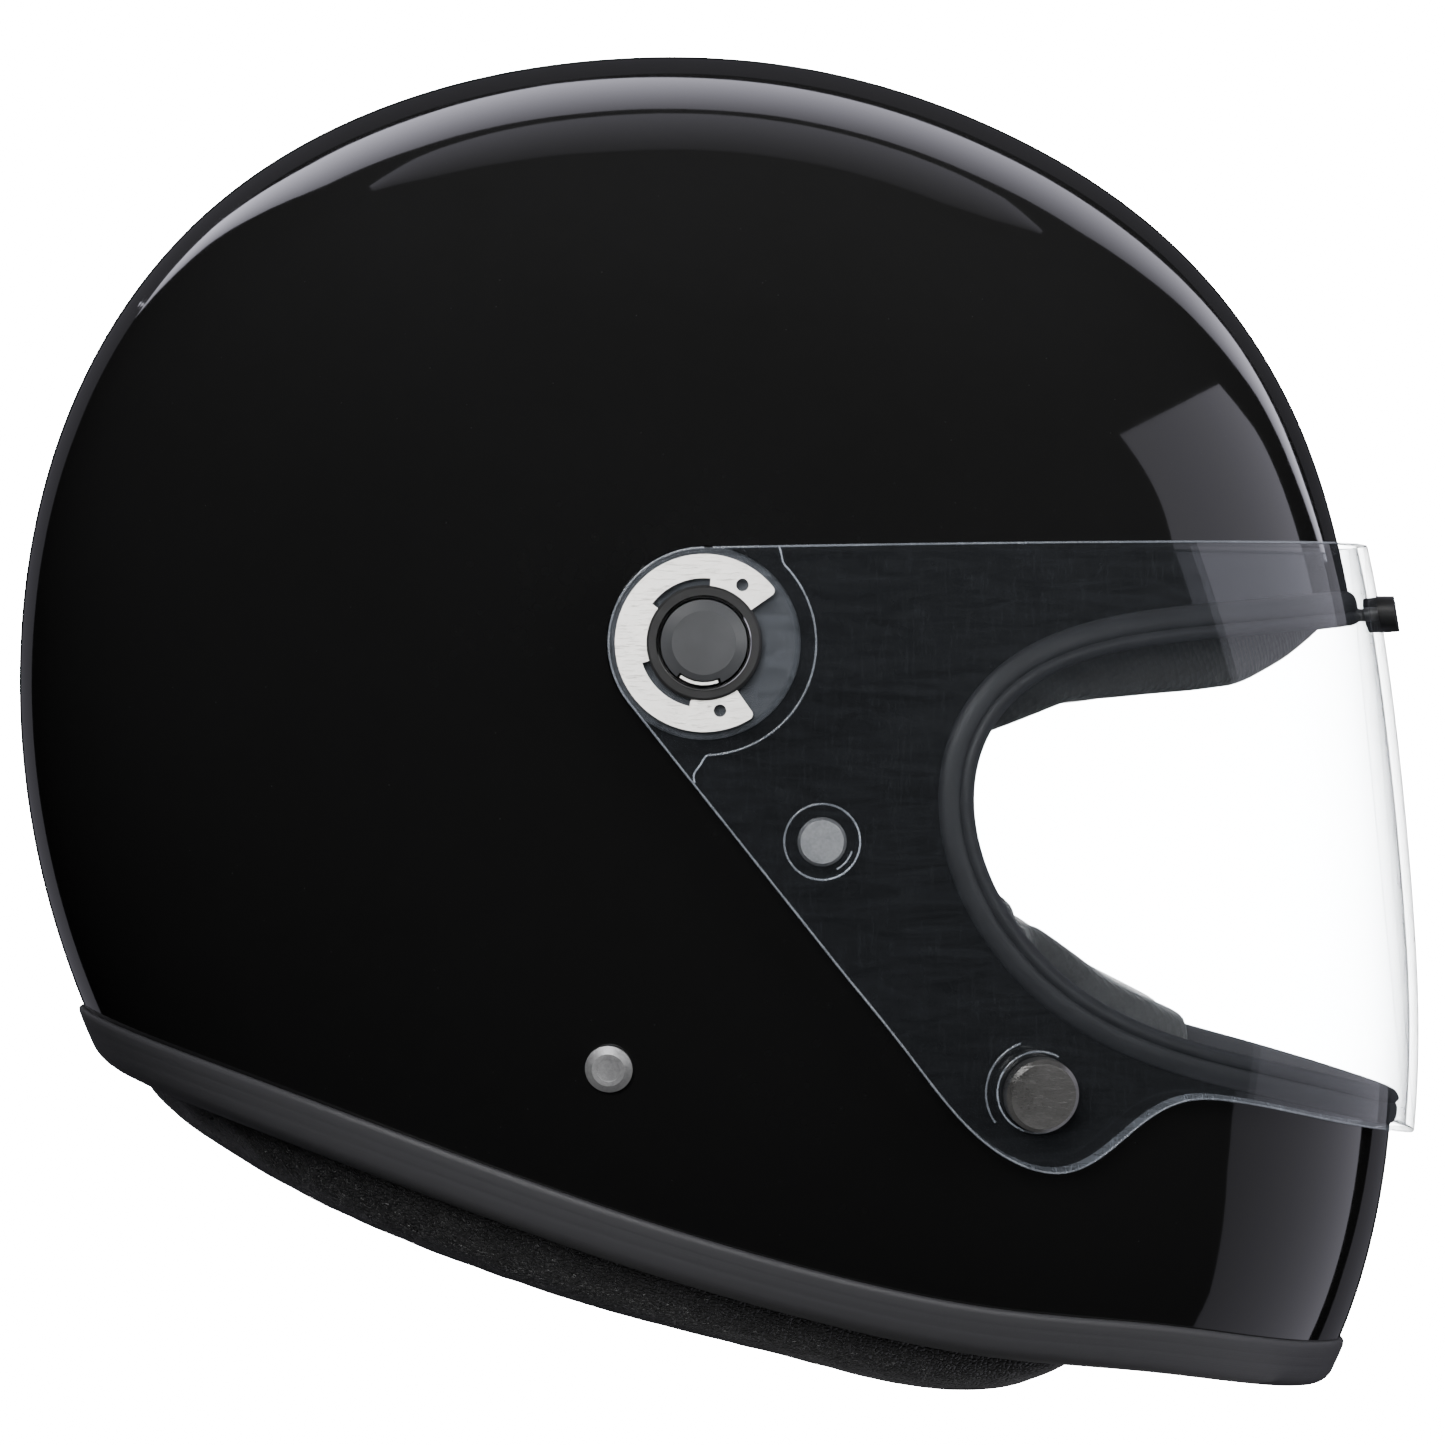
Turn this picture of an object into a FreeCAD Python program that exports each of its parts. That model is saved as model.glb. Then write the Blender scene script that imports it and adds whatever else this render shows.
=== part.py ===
import FreeCAD, Part
import math
import os
import re

import Sketcher
from FreeCAD import Placement, Rotation, Vector

# Motorcycle helmet. +X points forward, +Y to the wearer's left, +Z up; millimetres and degrees.
# The origin is under the middle of the helmet, level with its lowest point. Most sizes are taken
# from the visor's pivot axis, which runs along Y through (pivot_x, pivot_z): "forward" and "up"
# below are distances from that axis, and "height" is the distance from the middle plane.

DOC = FreeCAD.newDocument("motorcycle_helmet")

# Side profile of the shell: its reach from the pivot axis every 20 degrees, from straight
# forward, turning upwards.
PROFILE_STEP = 20
PROFILE = [149.8, 145.8, 142.0, 136.8, 135.0, 137.1, 144.1, 152.3, 155.8,
           157.2, 161.2, 169.0, 182.0, 198.0, 211.0, 228.0, 201.5, 166.5]

SIZES = {
    "pivot_x": -3.7, "pivot_z": 169.03,
    # shell form
    "half_width": 121.0, "squareness": 2.5, "squareness_swing": 0.25,
    "shell_wall": 3.5,
    # rim and eye opening trims
    "trim_height": 11.4, "trim_proud": 1.6, "trim_depth": 5.0, "trim_web": 3.5,
    "seal_width": 8.0, "seal_proud": 1.8, "seal_depth": 5.5, "seal_web": 3.0,
    # linings, as depths below the outer surface
    "foam_top": 3.8, "foam_depth": 34.0, "chin_foam_depth": 24.0,
    "crown_pad_top": 34.6, "crown_pad_depth": 41.0,
    "brow_top": 8.0, "brow_depth": 40.0,
    "cheek_top": 8.5, "cheek_depth": 44.0,
    "roll_top": 5.4, "roll_depth": 22.0, "roll_side_depth": 27.0,
    "soft_gap": 0.6, "foam_room": 1.5, "stud_pocket": 7.0, "snap_pocket": 8.0,
    "pad_stud_radius": 6.0,
    # visor
    "visor_proud": 6.5, "visor_side_proud": 4.7, "visor_wall": 2.35,
    "ear_radius": 20.6, "visor_top_rise": 3.4,
    "tab_low": 3.7, "tab_tall": 8.0, "tab_proud": 10.2, "tab_half_width": 22.0,
    "tab_screw_spacing": 28.0, "tab_screw_radius": 1.5, "tab_screw_head": 2.6,
    "tab_screw_seat": 1.4, "tab_corner": 3.7,
    # pivot stack, heights from the middle plane
    "spot_radius": 21.2, "spot_height": 119.5,
    "disc_radius": 20.0, "disc_top": 122.3,
    "journal_radius": 12.42, "journal_top": 124.6, "groove_radius": 11.6, "groove_top": 126.1,
    "collar_radius": 12.4, "collar_top": 127.3, "collar_chamfer": 0.5,
    "hub_bore": 9.6, "hub_floor": 124.0,
    "visor_hole": 12.5, "recess_radius": 20.9, "recess_height": 124.4,
    "clip_low": 124.8, "clip_top": 126.0, "clip_inner": 11.8, "clip_outer": 19.2,
    "clip_start": 35.0, "clip_turn": 270.0, "clip_notch": 14.0, "notch_turn": 59.0,
    "notch_first": 84.0, "notch_second": 198.0,
    "clip_hole": 1.35, "clip_hole_reach": 15.0, "hole_first": 56.5, "hole_second": -76.7,
    "clip_corner": 1.2,
    "bezel_outer": 10.3, "bezel_top": 127.9,
    "button_radius": 9.3, "button_flat": 6.9, "button_low": 126.1, "button_edge": 128.3,
    "button_top": 129.5, "button_wall": 1.3, "button_roof": 128.1,
    "latch_inner": 8.5, "latch_outer": 9.1, "latch_start": -125.0, "latch_turn": 55.0,
    "latch_top": 128.0, "latch_gap": 0.3,
    "spring_radius": 5.9, "spring_wire": 0.4, "spring_turns": 2.5,
    "screw_radius": 2.5, "screw_head": 4.6, "screw_end": 110.0, "screw_socket": 1.5,
    "screw_clear": 2.75, "nut_bore": 2.55, "nut_barrel": 3.6, "nut_flange": 9.0,
    "nut_top": 117.3, "nut_flange_thick": 1.3, "nut_end": 109.0, "nut_pocket": 10.0,
    "nut_pocket_end": 107.5,
    # studs and rivets: place forward and up, then radii and thicknesses
    "stud_x": 25.5, "stud_z": -42.9, "stud_head": 5.3, "stud_tall": 1.5, "stud_shank": 2.0,
    "rivet_x": -20.6, "rivet_z": -92.2, "rivet_head": 5.2, "rivet_tall": 1.8,
    "rivet_mark": 2.6, "rivet_shank": 2.3, "rivet_grip": 12.2, "rivet_washer": 6.5,
    "washer_thick": 1.2,
    "snap_x": 72.5, "snap_z": -97.4, "snap_radius": 8.1, "snap_tall": 4.8, "snap_bevel": 0.9,
    "snap_shank": 2.0, "snap_stud_head": 4.2, "snap_stud_tall": 1.4, "snap_stud_neck": 2.6,
    "hole_gap": 0.15,
    # chin strap, laid out in a plane that leans forward below the rivets
    "strap_lean": 24.6, "strap_width": 22.0, "strap_thick": 1.8,
    "sleeve_width": 32.0, "sleeve_thick": 7.0, "sleeve_start": 57.5, "sleeve_end": 36.0,
    "ring_wire": 2.0, "ring_half_length": 15.0, "ring_side": 9.0, "ring_corner": 3.5,
    "bar_place": 44.0, "inner_ring_level": -57.1, "outer_ring_level": -63.4,
    "run_level": -54.0, "fold_radius": 3.1, "loop_radius": 3.2,
    "press_place": -22.0, "press_radius": 6.2, "press_cap": 5.5, "press_shank": 1.5,
}

# Outlines in the side view, as (forward, up) from the pivot axis.
# Inner edge of the eye opening's seal, from the brow back and down and forward to the chin.
EYEPORT = [(190, 9.0), (150, 5.2), (118.7, 1.9), (99.1, -0.3), (83.6, -3.6), (73.2, -8.1),
           (65.5, -14.5), (60, -24.5), (58.7, -36), (62.2, -50.5), (69.8, -63.3), (82.7, -75.6),
           (102.8, -85.6), (128.3, -92.8), (158.9, -101.2), (190, -110.2)]
# Lower edge of the rim trim, from behind the neck forward to the chin.
RIM = [(-190, -78), (-139.9, -94.9), (-112.5, -103.5), (-66.8, -119.2), (-22.8, -134.6),
       (21, -147.9), (65.1, -157.3), (99, -161.3), (136.9, -168.2), (190, -174)]
# Lower edge of the neck roll.
ROLL = [(-160, -93), (-125, -107), (-87, -125), (-50, -139), (-14, -150), (21, -159),
        (54, -166), (70, -164.5), (84, -158)]
# Visor's lower edge, from the end of its straight rear edge round the snap lobe to the front.
VISOR_LOWER = [(30.5, -71.7), (44.2, -88.8), (56.2, -103.8), (66.7, -112.2), (79, -115),
               (89, -109.8), (98.6, -102.4), (106.2, -99.6), (114.5, -99.9), (138, -105.1),
               (164, -110.9), (190, -116.5)]
# Lower edge of the foam and of the crown pad, ear to brow.
FOAM_HEM = [(-190, -80), (-100, -76), (-60, -56), (-20, -44), (40, -40), (44, -10), (62, 14),
            (190, 14)]
CROWN_HEM = [(-190, -78), (-97, -74), (-58, -50), (-20, -38), (33, -34), (38, 4), (60, 20),
             (190, 20)]
BROW = [(63.5, 12.6), (190, 12.6), (190, -5), (136, -5), (118, -9), (80, -13), (62, -19.5),
        (50, -24), (46.5, -24), (46.5, -9.5)]
CHEEK = [(-46, -56), (-20, -48), (46, -45), (56, -47), (70, -60), (90, -74), (108, -83),
         (108, -128), (70, -140), (-46, -140)]
CHIN_FOAM = [(72, -60), (190, -60), (190, -160), (72, -160)]
CHEEK_STUDS = [(-30, -66), (8, -60), (44, -112)]
# How far the foams and pads stop short of the trims, measured in the side view.
RIM_CLEAR, EYE_CLEAR, ROLL_RISE, CHEEK_RISE = 14.6, 9.0, 14.0, 20.5
REACH_Y = 150.0     # half-length of the prisms that cut across the whole helmet
BORE_START = 100.0  # height at which bores through one side of the shell begin
FRONT, TOP = 190.0, 300.0   # beyond the helmet, forward and up
CHEEK_INSIDE = 30.0         # height below which no cheek pad reaches
TAB_START = 110.0           # forward place at which the lift tab's block and its bores begin


def fill_sheet():
    sheet = DOC.addObject("Spreadsheet::Sheet", "Sizes")
    cells = dict(SIZES)
    for step, reach in enumerate(PROFILE):
        cells["reach_%03d" % (step * PROFILE_STEP)] = reach
    for row, (alias, value) in enumerate(cells.items(), start=1):
        sheet.set("A%d" % row, alias)
        sheet.set("B%d" % row, str(value))
        sheet.setAlias("B%d" % row, alias)
    DOC.recompute()
    return sheet


SHEET = fill_sheet()


def size(text):
    """Value of an expression of sheet cells, such as "disc_top + 1.2"."""
    return float(SHEET.evalExpression(bound(text)))


def bound(text):
    """The same expression as other objects write it."""
    return re.sub(r"[a-z]\w*", r"Sizes.\g<0>", text)


def bind(item, **properties):
    for name, text in properties.items():
        item.setExpression(name, bound(text))


def stand(item, x="0", z="0"):
    """Carry a piece that is drawn about the pivot axis to its place in the helmet."""
    item.setExpression("Placement.Base.x", bound("pivot_x + " + x))
    item.setExpression("Placement.Base.z", bound("pivot_z + " + z))
    return item


# ---------------------------------------------------------------- form of the shell

def spline_bends(values, step):
    """Second derivatives of the smooth closed curve through evenly spaced values."""
    bends = [0.0] * len(values)
    for _ in range(60):
        for i, value in enumerate(values):
            after = (i + 1) % len(values)
            rise = 6 * (values[i - 1] - 2 * value + values[after]) / step ** 2
            bends[i] = (rise - bends[i - 1] - bends[after]) / 4
    return bends


REACHES = [size("reach_%03d" % (i * PROFILE_STEP)) for i in range(len(PROFILE))]
STEP = math.radians(PROFILE_STEP)
BENDS = spline_bends(REACHES, STEP)


def reach(angle):
    """Distance from the pivot axis to the shell's side profile, angle up from straight forward."""
    angle = angle % (2 * math.pi)
    i = int(angle / STEP) % len(REACHES)
    j = (i + 1) % len(REACHES)
    gone = angle - i * STEP
    left = STEP - gone
    return ((BENDS[i] * left ** 3 + BENDS[j] * gone ** 3) / (6 * STEP)
            + (REACHES[i] / STEP - BENDS[i] * STEP / 6) * left
            + (REACHES[j] / STEP - BENDS[j] * STEP / 6) * gone)


def power(angle):
    return size("squareness") - size("squareness_swing") * math.sin(angle)


def half_width_at(x, z, proud=0.0, side_proud=None):
    """Half the helmet's width at a point of the side view, on the surface that stands proud."""
    side_proud = proud if side_proud is None else side_proud
    angle = math.atan2(z, x)
    share = 1 - (math.hypot(x, z) / (reach(angle) + proud)) ** power(angle)
    return (size("half_width") + side_proud) * math.sqrt(max(share, 0.0))


SECTIONS = 15           # loft sections from one side of the helmet to the other, with both ends
SECTION_POINTS = 36
DOMES = {}


def dome(proud, side_proud=None):
    """Closed solid inside the surface that stands proud of the shell's outer face."""
    side_proud = proud if side_proud is None else side_proud
    if (proud, side_proud) in DOMES:
        return DOMES[proud, side_proud]
    flank = size("half_width") + side_proud
    powers = [power(a) for a in angles()]
    reaches = [reach(a) + proud for a in angles()]
    sections = [Part.Vertex(Vector(0, -flank, 0))]
    for i in range(1, SECTIONS - 1):
        share = math.sin(math.pi * i / (SECTIONS - 1))
        sign = -1 if i < SECTIONS / 2 else 1
        points = []
        for angle, squared, out in zip(angles(), powers, reaches):
            y = sign * flank * math.sqrt(max(0.0, 1 - share ** squared))
            points.append(Vector(share * out * math.cos(angle), y, share * out * math.sin(angle)))
        ring = Part.BSplineCurve()
        ring.interpolate(Points=points, PeriodicFlag=True)
        low, high = ring.FirstParameter, ring.LastParameter
        middle = (low + high) / 2
        sections.append(Part.Wire([ring.toShape(low, middle), ring.toShape(middle, high)]))
    sections.append(Part.Vertex(Vector(0, flank, 0)))
    DOMES[proud, side_proud] = Part.makeLoft(sections, True, False)
    return DOMES[proud, side_proud]


def angles():
    """Directions of a section's points, from straight down: a front half, then a rear half."""
    return [2 * math.pi * i / SECTION_POINTS - math.pi / 2 for i in range(SECTION_POINTS)]


def layer(keep, top, depth, side_depth=None):
    """The part of a prism that lies between two depths below the outer face."""
    side_depth = depth if side_depth is None else side_depth
    return dome(-top).common(keep).cut(dome(-depth, -side_depth))


# ---------------------------------------------------------------- side-view outlines

def curve(points):
    smooth = Part.BSplineCurve()
    smooth.interpolate([Vector(x, 0, z) for x, z in points])
    return smooth


def beside(points, distance):
    """The outline moved sideways: positive is to the right of its direction of travel."""
    smooth = curve(points)
    moved = []
    for x, z in points:
        along = smooth.tangent(smooth.parameter(Vector(x, 0, z)))[0]
        moved.append((x + distance * along.z, z - distance * along.x))
    return moved


def prism(edges, low=-REACH_Y, high=REACH_Y):
    face = Part.Face(Part.Wire(edges))
    face.translate(Vector(0, low, 0))
    return face.extrude(Vector(0, high - low, 0))


def line(start, end):
    return Part.makeLine(Vector(start[0], 0, start[1]), Vector(end[0], 0, end[1]))


def closed_by(points, corners):
    """Prism whose outline is a smooth curve, closed by straight lines through the corners."""
    stops = [points[-1]] + corners + [points[0]]
    sides = [line(a, b) for a, b in zip(stops, stops[1:])]
    return prism([curve(points).toShape()] + sides)


def polygon(points, low=-REACH_Y, high=REACH_Y):
    return prism([line(a, b) for a, b in zip(points, points[1:] + points[:1])], low, high)


def eye_cut(wider):
    """Everything in the eye opening, with its outline moved outwards."""
    return closed_by(beside(EYEPORT, wider), [])


def below_rim(higher):
    """Everything below the rim line, with that line moved up."""
    return closed_by(beside(RIM, -higher), [(190, -300), (-190, -300)])


def across(radius, x, z, low, high):
    """Round bar along Y on both sides of the helmet, between two heights."""
    bars = [Part.makeCylinder(radius, high - low, Vector(x, sign * low, z), Vector(0, sign, 0))
            for sign in (-1, 1)]
    return bars[0].fuse(bars[1])


def outward(x, z, side, proud=0.0, side_proud=None):
    """Foot and direction of the outer face's normal at a point of the side view."""
    side_proud = proud if side_proud is None else side_proud
    step = 0.5
    slope_x = (half_width_at(x + step, z, proud, side_proud)
               - half_width_at(x - step, z, proud, side_proud)) / (2 * step)
    slope_z = (half_width_at(x, z + step, proud, side_proud)
               - half_width_at(x, z - step, proud, side_proud)) / (2 * step)
    foot = Vector(x, side * half_width_at(x, z, proud, side_proud), z)
    return foot, Vector(-slope_x, side, -slope_z).normalize()


def drilled(radius, x, z, depth=14.0, proud=0.0, side_proud=None):
    """Round bars through the wall at a point of the side view, square to it, on both sides."""
    bars = []
    for side in (-1, 1):
        foot, normal = outward(x, z, side, proud, side_proud)
        bars.append(Part.makeCylinder(radius, 2 * depth, foot - normal * depth, normal))
    return bars[0].fuse(bars[1])


# ---------------------------------------------------------------- makers

def feature(label, shape):
    item = DOC.addObject("Part::Feature", label)
    item.Shape = shape
    return stand(item)


def turned(label, profile, seat=None, side=1):
    """Body turned about its own Y axis from (radius, height) pairs, each bound to the sheet.
    Without a seat it stands on the pivot axis; a seat is a (point, direction) off that axis."""
    body = DOC.addObject("PartDesign::Body", label)
    sketch = body.newObject("Sketcher::SketchObject", label + "_profile")
    plane = [f for f in body.Origin.OriginFeatures if f.Role == "XY_Plane"][0]
    sketch.AttachmentSupport = [(plane, "")]
    sketch.MapMode = "FlatFace"
    spots = [Vector(size(r), size(h), 0) for r, h in profile]
    for a, b in zip(spots, spots[1:] + spots[:1]):
        sketch.addGeometry(Part.LineSegment(a, b), False)
    for i in range(len(spots)):
        sketch.addConstraint(Sketcher.Constraint("Coincident", i, 2, (i + 1) % len(spots), 1))
    for i, (radius, height) in enumerate(profile):
        if radius == "0":
            sketch.addConstraint(Sketcher.Constraint("PointOnObject", i, 1, -2))
        else:
            n = sketch.addConstraint(Sketcher.Constraint("DistanceX", -1, 1, i, 1, spots[i].x))
            sketch.setExpression("Constraints[%d]" % n, bound(radius))
        if spots[i].y == 0:
            sketch.addConstraint(Sketcher.Constraint("PointOnObject", i, 1, -1))
        else:
            n = sketch.addConstraint(Sketcher.Constraint("DistanceY", -1, 1, i, 1, spots[i].y))
            sketch.setExpression("Constraints[%d]" % n, bound(height))
    spin = body.newObject("PartDesign::Revolution", label + "_turned")
    spin.Profile = sketch
    spin.ReferenceAxis = (sketch, ["V_Axis"])
    spin.Angle = 360
    body.Tip = spin
    if seat:
        point, direction = seat
        body.Placement = Placement(point, Rotation(Vector(0, 1, 0), direction))
        body.setExpression("Placement.Base.x", "%.6f + Sizes.pivot_x" % point.x)
        body.setExpression("Placement.Base.z", "%.6f + Sizes.pivot_z" % point.z)
        return body
    if side < 0:
        body.Placement = Placement(Vector(0, 0, 0), Rotation(Vector(0, 0, 1), 180))
    return stand(body)


def drum(label, side, radius, low, high, start="0", turn="360", x="0", z="0"):
    """Cylinder or sector along Y on one side; start and turn are angles up from forward."""
    item = DOC.addObject("Part::Cylinder", label)
    bind(item, Radius=radius, Height="(%s) - (%s)" % (high, low), Angle=turn)
    item.Placement.Rotation = Rotation(Vector(1, 0, 0), 90) * Rotation(Vector(0, 0, 1),
                                                                       size(start))
    item.setExpression("Placement.Base.y", bound(high if side > 0 else "-(%s)" % low))
    return stand(item, x, z)


def cut(label, base, tools):
    tool = tools[0]
    if len(tools) > 1:
        tool = DOC.addObject("Part::MultiFuse", label + "_tools")
        tool.Shapes = tools
    item = DOC.addObject("Part::Cut", label)
    item.Base = base
    item.Tool = tool
    return item


def rounded(points, radius, closed=False):
    """Straight runs joined by tangent arcs through the points."""
    count = len(points)
    spots = range(count) if closed else range(1, count - 1)
    ends = {}
    for i in spots:
        before = (points[i - 1] - points[i]).normalize()
        after = (points[(i + 1) % count] - points[i]).normalize()
        half = before.getAngle(after) / 2
        here = radius[i] if isinstance(radius, (list, tuple)) else radius
        trim = here / math.tan(half)
        middle = (before + after).normalize()
        bulge = points[i] + middle * (here / math.sin(half) - here)
        ends[i] = (points[i] + before * trim, bulge, points[i] + after * trim)
    edges = []
    place = ends[0][2] if closed else points[0]
    for i in (list(range(1, count)) + [0]) if closed else range(1, count):
        into = ends[i][0] if i in ends else points[i]
        if (into - place).Length > 1e-4:
            edges.append(Part.makeLine(place, into))
        if i in ends:
            edges.append(Part.Arc(*ends[i]).toShape())
            place = ends[i][2]
    return Part.Wire(Part.__sortEdges__(edges))


# ---------------------------------------------------------------- shell and trims

def outer_shell():
    wall = dome(0.0).cut(dome(-size("shell_wall")))
    wall = wall.cut(eye_cut(size("seal_web"))).cut(below_rim(size("trim_web")))
    wall = wall.cut(across(size("spot_radius"), 0, 0, size("spot_height"), REACH_Y))
    wall = wall.cut(across(size("screw_clear"), 0, 0, BORE_START, REACH_Y))
    gap = size("hole_gap")
    wall = wall.cut(drilled(size("rivet_shank") + gap, size("rivet_x"), size("rivet_z")))
    wall = wall.cut(drilled(size("stud_shank") + gap, size("stud_x"), size("stud_z")))
    return wall.cut(drilled(size("snap_shank") + gap, size("snap_x"), size("snap_z")))


SHELL = outer_shell()
feature("outer_shell", SHELL)


def edge_trim():
    band = dome(size("trim_proud")).cut(dome(-size("trim_depth")))
    band = band.common(below_rim(size("trim_height"))).cut(below_rim(0))
    return band.cut(SHELL)


TRIM = edge_trim()
feature("edge_trim", TRIM)


def eyeport_seal():
    band = dome(size("seal_proud")).cut(dome(-size("seal_depth")))
    return band.common(eye_cut(size("seal_width"))).cut(eye_cut(0)).cut(SHELL)


feature("eyeport_seal", eyeport_seal())


# ---------------------------------------------------------------- foam and pads

def nut_room():
    return across(size("nut_pocket"), 0, 0, size("nut_pocket_end"), REACH_Y)


def impact_liner():
    above = polygon(FOAM_HEM + [(FRONT, TOP), (-FRONT, TOP)])
    foam = layer(above, size("foam_top"), size("foam_depth"))
    foam = foam.cut(eye_cut(EYE_CLEAR)).cut(nut_room())
    room = size("stud_shank + foam_room")
    return foam.cut(drilled(room, size("stud_x"), size("stud_z"), size("stud_pocket")))


def chin_impact_liner():
    foam = layer(polygon(CHIN_FOAM), size("foam_top"), size("chin_foam_depth"))
    foam = foam.cut(eye_cut(EYE_CLEAR)).cut(below_rim(RIM_CLEAR))
    room = size("snap_stud_head + foam_room")
    return foam.cut(drilled(room, size("snap_x"), size("snap_z"), size("snap_pocket")))


def crown_pad():
    above = polygon(CROWN_HEM + [(FRONT, TOP), (-FRONT, TOP)])
    return layer(above, size("crown_pad_top"), size("crown_pad_depth"))


def brow_band():
    return layer(polygon(BROW), size("brow_top"), size("brow_depth"))


def cheek_pad(side):
    low, high = (-REACH_Y, -CHEEK_INSIDE) if side < 0 else (CHEEK_INSIDE, REACH_Y)
    pad = layer(polygon(CHEEK, low, high), size("cheek_top"), size("cheek_depth"))
    behind_chin = dome(-size("chin_foam_depth") - size("soft_gap"))
    rear = CHIN_FOAM[0][0] - size("soft_gap")
    ahead = polygon([(rear, 0), (FRONT, 0), (FRONT, -TOP), (rear, -TOP)])
    pad = pad.cut(ahead.cut(behind_chin)).cut(below_rim(CHEEK_RISE))
    room = size("rivet_washer + foam_room")
    pad = pad.cut(drilled(room, size("rivet_x"), size("rivet_z")))
    return pad.cut(strap_slot(side))


def neck_roll():
    sag = closed_by(ROLL, [(84, -100), (-160, -60)])
    sag = sag.common(below_rim(ROLL_RISE))
    roll = layer(sag, size("roll_top"), size("roll_depth"), size("roll_side_depth"))
    return roll.cut(strap_slot(-1)).cut(strap_slot(1))


def cheek_pad_studs():
    """Press studs in the gap between the shell's wall and the cheek pads."""
    space = dome(-size("shell_wall")).cut(dome(-size("cheek_top")))
    studs = []
    for x, z in CHEEK_STUDS:
        for side in (-1, 1):
            foot, normal = outward(x, z, side)
            depth = size("cheek_top + shell_wall")
            bar = Part.makeCylinder(size("pad_stud_radius"), depth, foot - normal * depth, normal)
            studs.append(bar.common(space).Solids[0])
    return Part.makeCompound(studs)


# ---------------------------------------------------------------- visor

def visor_outline():
    """Side outline: ear round the pivot, top edge forward, straight rear edge down, lobe."""
    radius = size("ear_radius")
    top = (0, radius)
    down = (VISOR_LOWER[1][0] - VISOR_LOWER[0][0], VISOR_LOWER[1][1] - VISOR_LOWER[0][1])
    rear_angle = math.atan2(down[1], down[0]) - math.pi / 2
    rear = (radius * math.cos(rear_angle), radius * math.sin(rear_angle))
    middle_angle = (math.pi / 2 + rear_angle + 2 * math.pi) / 2
    middle = (radius * math.cos(middle_angle), radius * math.sin(middle_angle))
    ear = Part.Arc(*[Vector(x, 0, z) for x, z in (top, middle, rear)]).toShape()
    front = (190, radius + size("visor_top_rise"))
    return prism([ear, line(rear, VISOR_LOWER[0]), curve(VISOR_LOWER).toShape(),
                  line(VISOR_LOWER[-1], front), line(front, top)])


def visor():
    proud, side_proud, wall = (size(w) for w in ("visor_proud", "visor_side_proud",
                                                 "visor_wall"))
    sheet = dome(proud, side_proud).cut(dome(proud - wall, side_proud - wall))
    sheet = sheet.common(visor_outline())
    sheet = sheet.cut(across(size("visor_hole"), 0, 0, BORE_START, REACH_Y))
    sheet = sheet.cut(across(size("recess_radius"), 0, 0, size("recess_height"), REACH_Y))
    gap = size("hole_gap")
    sheet = sheet.cut(drilled(size("snap_shank") + gap, size("snap_x"), size("snap_z"), 14.0,
                              proud, side_proud))
    for y in tab_screw_places():
        sheet = sheet.cut(forward_bar(size("tab_screw_radius") + gap, y, TAB_START, FRONT))
    return sheet


def tab_screw_places():
    return [sign * size("tab_screw_spacing") / 2 for sign in (-1, 1)]


def forward_bar(radius, y, start, end):
    level = size("tab_low") + size("tab_tall") / 2
    return Part.makeCylinder(radius, end - start, Vector(start, y, level), Vector(1, 0, 0))


def visor_tab():
    """Lift tab on the visor's front, rounded at its ends."""
    half = size("tab_half_width")
    length = FRONT - TAB_START
    block = Part.makeBox(length, 2 * half, size("tab_tall"),
                         Vector(TAB_START, -half, size("tab_low")))
    ends = [e for e in block.Edges if abs(e.Length - length) < 0.01]
    block = block.makeFillet(size("tab_corner"), ends)
    side = size("visor_side_proud") - size("visor_proud")
    skin = dome(size("tab_proud"), size("tab_proud") + side)
    tab = block.common(skin.cut(dome(size("visor_proud"), size("visor_side_proud"))))
    for y in tab_screw_places():
        tab = tab.cut(forward_bar(size("tab_screw_radius + hole_gap"), y, TAB_START, FRONT))
        seat = tab_face(y) - size("tab_screw_seat")
        tab = tab.cut(forward_bar(size("tab_screw_head + hole_gap"), y, seat, FRONT))
    return tab


def front_at(y, proud, side_proud):
    """How far forward a surface reaches at the tab's level, at a distance y off the middle."""
    level = size("tab_low") + size("tab_tall") / 2
    x = 100.0
    while half_width_at(x, level, proud, side_proud) > abs(y):
        x += 0.05
    return x


def tab_face(y):
    side = size("visor_side_proud") - size("visor_proud")
    return front_at(y, size("tab_proud"), size("tab_proud") + side)


def visor_tab_screws():
    """Two countersunk screws through the tab and the visor, each with a thin nut inside."""
    pieces = []
    for y in tab_screw_places():
        face = tab_face(y)
        wall = size("visor_proud") - size("visor_wall")
        inside = front_at(y, wall, size("visor_side_proud") - size("visor_wall"))
        shank = forward_bar(size("tab_screw_radius"), y, inside - 1.6, face - 1.2)
        head = forward_bar(size("tab_screw_head"), y, face - 1.3, face - 0.4)
        slot = Part.makeBox(1, 0.7, 4, Vector(face - 0.8, y - 0.35, size("tab_low") + 2))
        pieces.append(shank.fuse(head).cut(slot))
    return Part.makeCompound(pieces)


feature("visor", visor())
feature("visor_tab", visor_tab())
feature("visor_tab_screws", visor_tab_screws())


# ---------------------------------------------------------------- pivot stack, each side

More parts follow.
